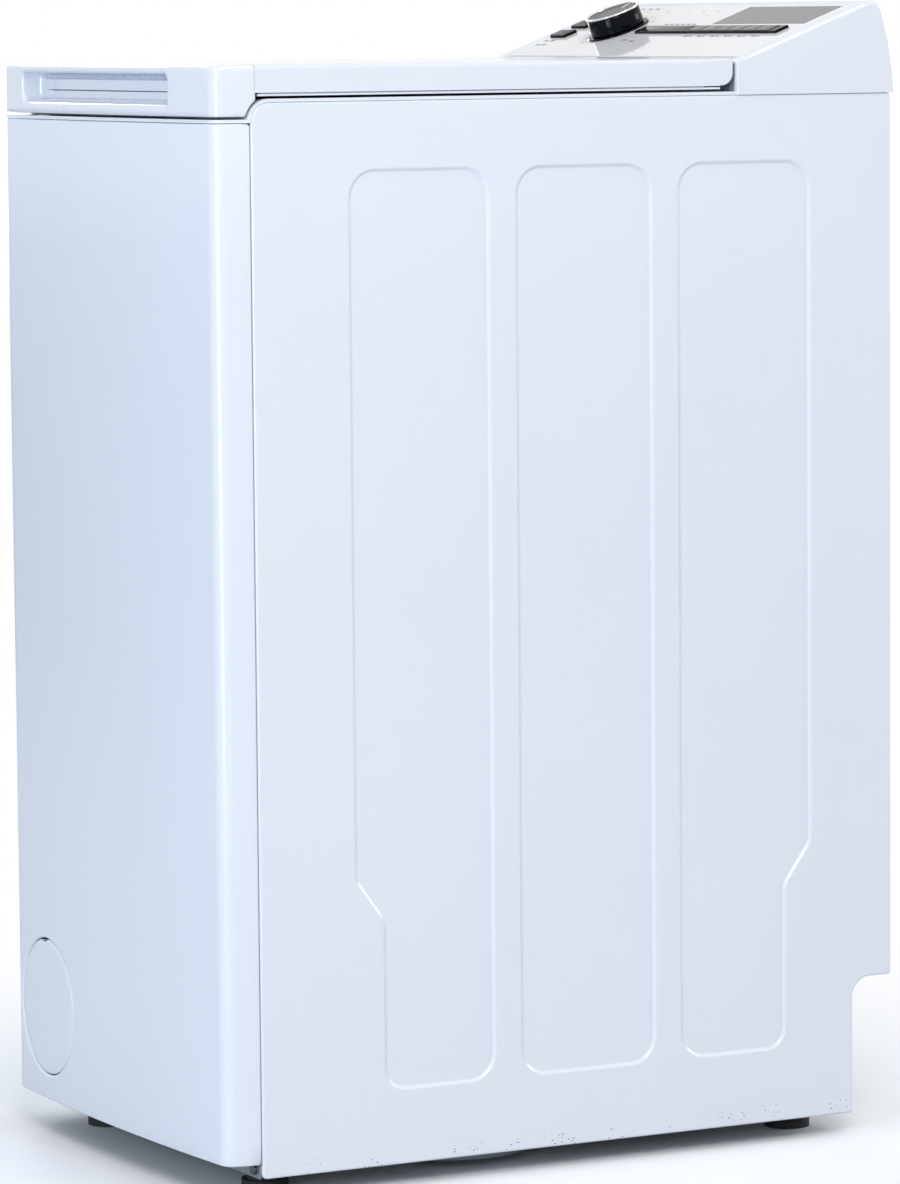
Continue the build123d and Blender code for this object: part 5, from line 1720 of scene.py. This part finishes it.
@dataclass
class Console:
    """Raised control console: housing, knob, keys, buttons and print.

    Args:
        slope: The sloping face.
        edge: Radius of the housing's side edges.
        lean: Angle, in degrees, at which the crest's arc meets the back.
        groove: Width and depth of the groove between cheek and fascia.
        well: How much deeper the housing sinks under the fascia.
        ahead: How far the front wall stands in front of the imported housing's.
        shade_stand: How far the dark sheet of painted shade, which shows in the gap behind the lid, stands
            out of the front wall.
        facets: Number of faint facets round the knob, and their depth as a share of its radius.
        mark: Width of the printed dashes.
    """

    slope: Slope
    edge: float = 3.8 * MM
    lean: float = 15.0
    groove: tuple[float, float] = (2.2 * MM, 1.4 * MM)
    well: float = 2.4 * MM
    ahead: float = 0.7 * MM
    shade_stand: float = 0.12 * MM
    facets: tuple[int, float] = (36, 0.007)
    mark: float = 2.6 * MM

    def side_path(self) -> Array:
        """The housing's side outline, whose back is a cubic curve from the crest's arc to the foot.

        Returns:
            Rows of (Y, Z), from the front foot over the crest to the rear foot.
        """
        low, high = corner_values("console_housing")
        centre = crest_centre(high)
        rise = self.slope.angle
        start = centre + CREST_RADIUS * np.array([-math.sin(rise), math.cos(rise)])
        knee = (self.slope.front - self.ahead, self.slope.low - self.ahead * math.tan(rise), 3 * MM)
        front = smoothed([(low.y - self.ahead, low.z, 0), knee, (*start, 0)])
        slope_part = lines(0, 1, step=[0.06])[1:-1, None] * (start - front[-2]) + front[-2]
        lean = math.radians(self.lean)
        angle = np.linspace(math.pi / 2 + rise, lean, 26)
        arc = centre + CREST_RADIUS * np.stack([np.cos(angle), np.sin(angle)], 1)
        foot = np.array([high.y, low.z])
        t = np.linspace(0, 1, 16)[1:, None]
        pull = np.linalg.norm(foot - arc[-1]) * 0.45
        steep = np.array([0.10, -1.0])
        a, d = arc[-1], foot
        b, c = a + np.array([math.sin(lean), -math.cos(lean)]) * pull, d - steep * pull
        back = (1 - t) ** 3 * a + 3 * (1 - t) ** 2 * t * b + 3 * (1 - t) * t ** 2 * c + t ** 3 * d
        return np.concatenate([front[:-1], slope_part, arc, back])

    def housing(self) -> None:
        """Builds the housing: the side outline carried across, with rounded cheeks and a groove."""
        low, high = corner_values("console_housing")
        fascia_low, fascia_high = self.slope.node_box("console_fascia")
        path = self.side_path()
        normal = -side_normals(path, closed=False)
        normal[0], normal[-1] = (-1, 0), (1, 0)
        local = np.array([self.slope.local((0, y, z)) for y, z in path])
        on_slope = window(local[:, 1], fascia_low[1] + 1 * MM, fascia_high[1] - 0.5 * MM, 3 * MM)
        on_slope *= np.abs(local[:, 2]) < 1.5 * MM
        angle = np.linspace(0, math.pi / 2, 9)
        round_x = high.x - self.edge + self.edge * np.append(1.0, np.cos(angle))
        round_in = self.edge * np.append(1.15, 1 - np.sin(angle))
        share = 0.35 + 0.65 * smooth((distances(path) - (self.slope.low - low.z)) / (14 * MM))
        width, depth = self.groove
        inner = fascia_high[0]
        groove_x = lines(inner + width + 1.6 * MM, inner + width, inner + 0.2 * MM, inner - 1.2 * MM,
                         step=[0.3 * MM, 0.35 * MM, 0.4 * MM])
        sink = depth * smooth((inner + width + 1.4 * MM - groove_x) / (1.8 * MM))
        sink = np.where(groove_x < inner, depth + self.well, sink)
        half = np.concatenate([round_x, groove_x])
        edge_in = np.concatenate([round_in, np.zeros(len(groove_x))])
        slope_in = np.concatenate([np.zeros(len(round_x)), sink])
        across = np.concatenate([half, -half[::-1]])
        inset = mirrored(edge_in)[:, None] * share[None] + mirrored(slope_in)[:, None] * on_slope[None]
        points = path[None] - normal[None] * inset[..., None]
        points[..., 1] = np.maximum(points[..., 1], low.z)
        grid = carried(across, points)
        draft = Draft()
        draft.patch(grid, close_v=True)
        for end in (0, -1):
            draft.fill([grid[end]], (1, 2))
        piece = draft.build("console_shell", sharp=38.0)
        even_normals(piece)
        finish_piece(piece, MOULDING, "cabinet", "white_plastic", "console_housing")

    def paint_shade_in_gap(self) -> None:
        """Builds a thin dark sheet on the front wall: painted shade that shows in the gap behind the lid."""
        low, high = corner_values("console_housing")
        side = high.x - self.edge - 0.4 * MM
        front = low.y - self.ahead
        box = rounded_box((-side, front - self.shade_stand, low.z + 0.3 * MM),
                          (side, front + 0.5 * MM, self.slope.low - 3.2 * MM), 0.08 * MM, 0.1 * MM)
        draft = Draft()
        draft.block(box)
        # The sheet's dark finish is painted shade for the gap behind the lid
        finish_piece(draft.build("console_gap_painted_shade", sharp=40.0), PAINTED_GAP_SHADE, "cabinet", "white_plastic")

    def knob(self) -> None:
        """Builds the knob: a faintly faceted body, its bright ring, its dished face and the bezel."""
        low, high = self.slope.node_box("knob_cap")
        centre = np.array([(low[0] + high[0]) / 2, (low[1] + high[1]) / 2, 0.0])
        radius, top = (high[0] - low[0]) / 2, high[2]
        body_low, _ = self.slope.node_box("program_knob")
        bezel_low, bezel_high = self.slope.node_box("knob_bezel")
        size = (bezel_high[0] - bezel_low[0]) / 2
        foot, stem, under = bezel_high[2] + 0.5 * MM, 3 * MM, top - 1.6 * MM
        around = 144
        count, depth = self.facets
        body = smoothed([(0.0, body_low[2], 0), (stem, body_low[2], 0), (stem, foot, 0),
                         (radius - 0.6 * MM, foot, 0.5 * MM), (radius - 1.1 * MM, top - 2.2 * MM, 0),
                         (radius - 1.6 * MM, under, 0), (0.0, under, 0)], 0.2 * MM)
        points = revolve(body, around)
        angle = np.linspace(0, 2 * math.pi, around, endpoint=False)[:, None]
        outer = smooth((np.hypot(points[..., 0], points[..., 1]) - radius * 0.9) / (radius * 0.05))
        facet = 1 - depth * outer * (1 - np.abs(np.cos(angle * count / 2)))
        points[..., :2] *= facet[..., None]
        ring = smoothed([(radius + out * MM, top + up * MM, r * MM) for out, up, r in KNOB_RING], 0.15 * MM)
        t = np.linspace(0, 1, 14)
        across = (radius - 2.2 * MM) * t
        dish = np.column_stack([across, top - 1.9 * MM + 0.9 * MM * t ** 2])
        back = np.column_stack([across[::-1], np.full(len(t), top - 2.6 * MM)])
        turned = replace(TURNED, centre=tuple(self.slope.place(centre)), tilt=self.slope.angle)
        in_skirt = radius - 6 * MM
        skirt = smoothed([(in_skirt, bezel_low[2], 0), (size, bezel_low[2], 0.2 * MM),
                          (size - 0.4 * MM, bezel_high[2] - 0.2 * MM, 0.7 * MM),
                          (in_skirt, bezel_high[2], 0), (in_skirt, bezel_low[2], 0)], 0.15 * MM)

        def turn(name: str, grid: Array, sharp: float, *rest: Finish | str) -> None:
            """Places and finishes one turned piece.

            Args:
                name: Name of the piece.
                grid: Its points round the knob's axis.
                sharp: Edges that turn more than this many degrees stay crisp.
                rest: Its finish, body, slot and replaced nodes.
            """
            draft = Draft()
            draft.patch(self.slope.place(grid + centre), close_u=True)
            finish_piece(draft.build(name, sharp=sharp), *rest)

        turn("program_knob_body", points, 40.0, BLACK, "program_knob", "black_gloss", "program_knob")
        turn("knob_ring", revolve(ring, 120), 50.0, CHROME, "program_knob", "knob_trim", "knob_cap")
        face = revolve(np.concatenate([dish, back]), 96)
        turn("knob_face", face, 40.0, turned, "program_knob", "knob_trim")
        pointer = Draft()
        x, s = centre[0], centre[1]
        pointer.block(rounded_box((x - 0.6 * MM, s + radius * 0.42, top - 1.7 * MM),
                                  (x + 0.6 * MM, s + radius * 0.82, top - 0.85 * MM), 0.2 * MM, 0.5 * MM),
                      self.slope.place)
        finish_piece(pointer.build("knob_pointer"), CHROME, "program_knob", "knob_trim")
        turn("knob_skirt", revolve(skirt, 120), 45.0, BLACK, "cabinet", "black_gloss", "knob_bezel")

    def keys(self) -> None:
        """Builds the key bar, the option keys and the two buttons with soft edges."""
        low, high = self.slope.node_box("key_bar")
        first, _ = self.slope.node_box("option_key_1")
        _, last = self.slope.node_box("option_key_6")
        gap, floor, wall = 0.3 * MM, low[2] + 0.5 * MM, 1.0 * MM
        start, end = first[0] - gap, last[0] + gap
        blocks = (
            ((low[0], low[1]), (start, high[1]), high[2]),
            ((end, low[1]), (high[0], high[1]), high[2]),
            ((start - wall, low[1]), (end + wall, low[1] + wall), high[2]),
            ((start - wall, high[1] - wall), (end + wall, high[1]), high[2]),
            ((start - wall, low[1]), (end + wall, high[1]), floor),
        )
        draft = Draft()
        for (x0, s0), (x1, s1), top in blocks:
            draft.block(rounded_box((x0, s0, low[2]), (x1, s1, top), 0.35 * MM, 0.45 * MM), self.slope.place)
        finish_piece(draft.build("key_bar_block", sharp=45.0), BLACK, "cabinet", "black_gloss", "key_bar")
        for number in range(1, 7):
            self.cap(f"option_key_{number}", KEY_BLACK, 0.3 * MM, 0.35 * MM)
        for node in ("start_button", "power_button"):
            self.cap(node, BUTTON, 0.7 * MM, 1.6 * MM)

    def cap(self, node: str, finish: Finish, radius: float, plan: float) -> None:
        """Builds one key or button with its stem.

        Args:
            node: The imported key.
            finish: Its finish.
            radius: Radius of its top edge.
            plan: Radius of its corners.
        """
        low, high = self.slope.node_box(node)
        levels = np.unique(np.round(self.slope.node_points(node)[:, 2], 6))
        foot = float(levels[levels < high[2] - 0.5 * MM].max())
        x, s = (low[0] + high[0]) / 2, (low[1] + high[1]) / 2
        stem = revolve(np.array([[0.0, low[2]], [2.5 * MM, low[2]], [2.5 * MM, foot + 0.1 * MM]]), 24)
        draft = Draft()
        draft.block(rounded_box((low[0], low[1], foot), high, radius, plan), self.slope.place)
        draft.patch(self.slope.place(stem + np.array([x, s, 0.0])), close_u=True)
        finish_piece(draft.build(node + "_cap", sharp=40.0), finish, node, "black_gloss", node)

    def print_marks(self) -> None:
        """Builds the plain print: ticks round the knob and short dashes by the keys and lamps."""
        knob_low, knob_high = self.slope.node_box("knob_bezel")
        x, s = (knob_low[0] + knob_high[0]) / 2, (knob_low[1] + knob_high[1]) / 2
        radius = (knob_high[0] - knob_low[0]) / 2
        level = self.slope.node_box("display_window")[1][2]
        draft = Draft()

        def dash(cx: float, cs: float, length: float, wide: float, turn: float) -> None:
            """Adds one thin mark on the fascia.

            Args:
                cx: Its middle across.
                cs: Its middle up the slope.
                length: Its length.
                wide: Its width.
                turn: Its turn, in radians.
            """
            corners = np.array([[-length, -wide], [length, -wide], [length, wide], [-length, wide]]) / 2
            cos, sin = math.cos(turn), math.sin(turn)
            flat = corners @ np.array([[cos, sin], [-sin, cos]]) + (cx, cs)
            low = np.column_stack([flat, np.full(4, level - 0.02 * MM)])
            high = np.column_stack([flat, np.full(4, level + 0.04 * MM)])
            draft.patch(self.slope.place(np.stack([low, high], 1)), close_u=True)
            draft.add(self.slope.place(high), np.array([[0, 1, 2, 3]]))
            draft.add(self.slope.place(low), np.array([[3, 2, 1, 0]]))

        bar_low, bar_high = self.slope.node_box("key_bar")
        # Above the knob, above the keys, in two lines left of the knob, right of it and under the keys
        rows = [(x - 62 * MM + 12 * MM * step, s + 49 * MM, 5.5 * MM) for step in range(5)]
        rows += [(x + (58 + 9 * step) * MM, bar_high[1] + 8 * MM, 5.0 * MM) for step in range(6)]
        rows += [(x - (82 - 10 * step) * MM, s - drop * MM, 7.0 * MM)
                 for drop in (24, 33) for step in range(2)]
        rows += [(x + 46 * MM, s - 22 * MM, 6.0 * MM), (x + 62 * MM, s - 25 * MM, 7.0 * MM)]
        for number in range(1, 7):
            low, high = self.slope.node_box(f"option_key_{number}")
            middle, under = (low[0] + high[0]) / 2, bar_low[1] - 6 * MM
            rows += [(middle - 3.5 * MM, under, 5.5 * MM), (middle + 3.5 * MM, under, 3.5 * MM)]
        for cx, cs, length in rows:
            dash(cx, cs, length, self.mark, 0.0)
        reach = radius + 4.5 * MM
        for turn in np.radians(np.arange(-60, 241, 20)):
            dash(x + reach * math.cos(turn), s + reach * math.sin(turn), 3.0 * MM, 1.0 * MM, turn)
        finish_piece(draft.build("fascia_print"), INK, "cabinet", "fascia_gloss")

    def build(self) -> None:
        """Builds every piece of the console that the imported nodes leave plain."""
        for part in (self.housing, self.paint_shade_in_gap, self.knob, self.keys, self.print_marks):
            part()


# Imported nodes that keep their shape

NODE_FINISHES: dict[str, Finish] = {
    "rear_panel": ZINC, "crossbars": ZINC, "cabinet_screws": SCREW, "base_tray": BASE,
    "transport_hole_caps": DARK, "cable_gland": DARK, "foot_front_right": RUBBER, "foot_front_left": RUBBER,
    "rear_feet": RUBBER, "top_frame": LINER, "lid_liner": LINER, "lid_hinge_pins": STAINLESS,
    "lid_lock": GREY, "detergent_tray": TRAY, "console_fascia": FASCIA, "display_window": WINDOW,
    "control_board": BOARD, "drum_shell": DRUM, "drum_ends": STAINLESS, "drum_shafts": ALLOY,
    "drum_lifters": LIFTER, "drum_pulley": ALLOY, "flap_pins": STAINLESS, "drum_flap_front": DRUM,
    "drum_flap_rear": DRUM, "flap_latch": LIFTER, "tub_shell": TUB, "tub_sides": TUB, "drum_bearings": STEEL,
    "tub_bellows": SOFT, "counterweights": CONCRETE, "suspension_springs": STEEL, "dampers": STEEL,
    "motor_body": MOTOR, "motor_rotor": STEEL, "drive_belt": BELT, "heater": STAINLESS, "drain_pump": GREY,
    "drain_filter": LIFTER, "sump_hose": SOFT, "water_valve": GREY,
}


def dress_nodes() -> None:
    """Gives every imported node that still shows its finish."""
    for node, finish in NODE_FINISHES.items():
        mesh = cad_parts[node].data
        material = finish.material()
        if not mesh.materials:
            mesh.materials.append(material)
        for index in range(len(mesh.materials)):
            mesh.materials[index] = material
        LOG.info("%s keeps its packed shape", node)


# Studio

WARM = (1.0, 0.985, 0.96)
COOL = (0.95, 0.98, 1.0)

# Name, place, aim, width and height, watts and colour of each lamp
LAMPS = (
    ("over", (1.05, 0.35, 3.1), (0.15, 0.1, 0.85), (0.7, 1.2), 14.0, WARM),
    ("key", (2.9, -1.1, 2.6), (0.2, 0, 0.6), (1.2, 1.2), 41.0, (1.0, 0.925, 0.89)),
    ("front", (1.9, -3.4, 0.95), (0, -0.1, 0.5), (0.7, 1.9), 57.0, (0.75, 0.895, 1.09)),
    ("left", (-3.2, 0.8, 1.3), (0, 0, 0.5), (0.8, 1.6), 34.0, COOL),
    ("lip", (-2.8, -0.4, 2.3), (0, -0.3, 0.85), (0.3, 0.9), 10.0, COOL),
    ("rear", (0.6, 3.4, 1.6), (0, 0, 0.5), (1.4, 1.4), 34.0, (1.0, 1.0, 1.0)),
)


@dataclass(frozen=True)
class Studio:
    """Camera, lamps, floor and world.

    Args:
        eye: Where the camera stands.
        azimuth: Turn of the view round Z, in degrees; 0 looks along +Y.
        drop: How far the view looks down, in degrees.
        roll: Turn of the picture, in degrees.
        lens: Focal length in millimetres on a 36 mm sensor along the picture's long side.
        sky: Tint of the even light.
        level: Strength of the even light.
        bounce: How much light the floor throws back at the object.
        floor_tone: How pale the floor looks to the camera.
        fade: Distances from the middle where the floor starts to fade and where it is gone.
    """

    eye: tuple[float, float, float] = (3.998, -2.117, 0.889)
    azimuth: float = 62.05
    drop: float = 5.77
    roll: float = -0.48
    lens: float = 172.7
    sky: tuple[float, float, float] = (0.89, 0.95, 1.045)
    level: float = 0.52
    bounce: float = 0.60
    floor_tone: float = 0.93
    fade: tuple[float, float] = (0.45, 1.0)

    def camera(self) -> None:
        """Places the camera."""
        a, e, r = (math.radians(v) for v in (self.azimuth, self.drop, self.roll))
        back = Vector((math.sin(a) * math.cos(e), -math.cos(a) * math.cos(e), math.sin(e)))
        right = (-back).cross(Vector((0, 0, 1))).normalized()
        up = right.cross(-back)
        turned_right = math.cos(r) * right + math.sin(r) * up
        turned_up = -math.sin(r) * right + math.cos(r) * up
        data = bpy.data.cameras.new("camera")
        data.lens = self.lens
        data.sensor_width = 36.0
        data.sensor_fit = "AUTO"
        data.clip_end = 100.0
        camera = bpy.data.objects.new("camera", data)
        matrix = Matrix((turned_right, turned_up, back)).transposed().to_4x4()
        matrix.translation = Vector(self.eye)
        camera.matrix_world = matrix
        bpy.context.scene.collection.objects.link(camera)
        bpy.context.scene.camera = camera

    def lamp(self, name: str, place: Sequence[float], aim: Sequence[float], size: tuple[float, float],
             power: float, colour: Sequence[float]) -> None:
        """Places a soft area lamp.

        Args:
            name: Name of the lamp.
            place: Where it stands.
            aim: Where it points.
            size: Width and height of the lamp.
            power: Power in watts.
            colour: Its colour.
        """
        data = bpy.data.lights.new(name, "AREA")
        data.shape = "RECTANGLE"
        data.size, data.size_y = size
        data.energy = power
        data.color = colour
        lamp = bpy.data.objects.new(name, data)
        lamp.location = place
        lamp.rotation_euler = (Vector(aim) - Vector(place)).to_track_quat("-Z", "Y").to_euler()
        bpy.context.scene.collection.objects.link(lamp)

    def world(self) -> None:
        """White surroundings for the camera and mirrors, and a gentler even light on the object."""
        world = bpy.data.worlds.new("studio")
        world.use_nodes = True
        tree = world.node_tree
        seen = add_node(tree, "LightPath", "Is Camera Ray", {})
        for kind in ("Is Glossy Ray", "Is Transmission Ray"):
            ray = add_node(tree, "LightPath", kind, {})
            seen = add_node(tree, "Math", 0, {0: seen, 1: ray}, operation="MAXIMUM")
        tones = {"Factor": seen, 6: rgba(shade(self.sky, self.level)), 7: (1.0,) * 4}
        colour = add_node(tree, "Mix", 2, tones, data_type="RGBA")
        tree.links.new(colour, tree.nodes["Background"].inputs["Color"])
        bpy.context.scene.world = world

    def floor(self) -> None:
        """A pale round floor that fades into the white surroundings."""
        reach = np.array([0.0, 0.6, 1.2, 2.4, 6.0, 20.0])
        draft = Draft()
        draft.patch(revolve(np.column_stack([reach, np.zeros(len(reach))]), 96), close_u=True)
        floor = draft.build("floor")
        graph = Graph("floor_white")
        direct = graph.add("LightPath", "Is Camera Ray", {})
        tone = graph.mix(direct, (self.bounce,) * 3, (self.floor_tone,) * 3)
        graph.put(Base_Color=tone, Roughness=0.9, Specular_IOR_Level=0.1)
        length = graph.add("VectorMath", "Value", {0: graph.where}, operation="LENGTH")
        seen = graph.product(graph.span(length, *self.fade), direct)
        glow = graph.add("Emission", 0, {})
        mixed = graph.add("MixShader", 0, {0: seen, 1: graph.shader.outputs[0], 2: glow})
        output = next(n for n in graph.tree.nodes if n.type == "OUTPUT_MATERIAL")
        graph.tree.links.new(mixed, output.inputs["Surface"])
        floor.data.materials.append(graph.material)

    def build(self) -> None:
        """Sets up the whole studio."""
        self.camera()
        self.world()
        self.floor()
        for lamp in LAMPS:
            self.lamp(*lamp)
        bpy.context.scene.view_settings.view_transform = "Standard"


def main() -> None:
    """Builds the machine and its studio, and reports each piece."""
    logging.basicConfig(level=logging.INFO, format="%(name)s %(message)s")
    Studio().build()
    dress_nodes()
    plan = door_plan()
    for builder in (SidePanel("side_panel_right", 1), SidePanel("side_panel_left", -1), FrontPanel(plan),
                    FilterCover(plan), LidShell(), LidGrip(lid_plan()), Console(console_slope())):
        builder.build()


if __name__ == "__main__":
    main()
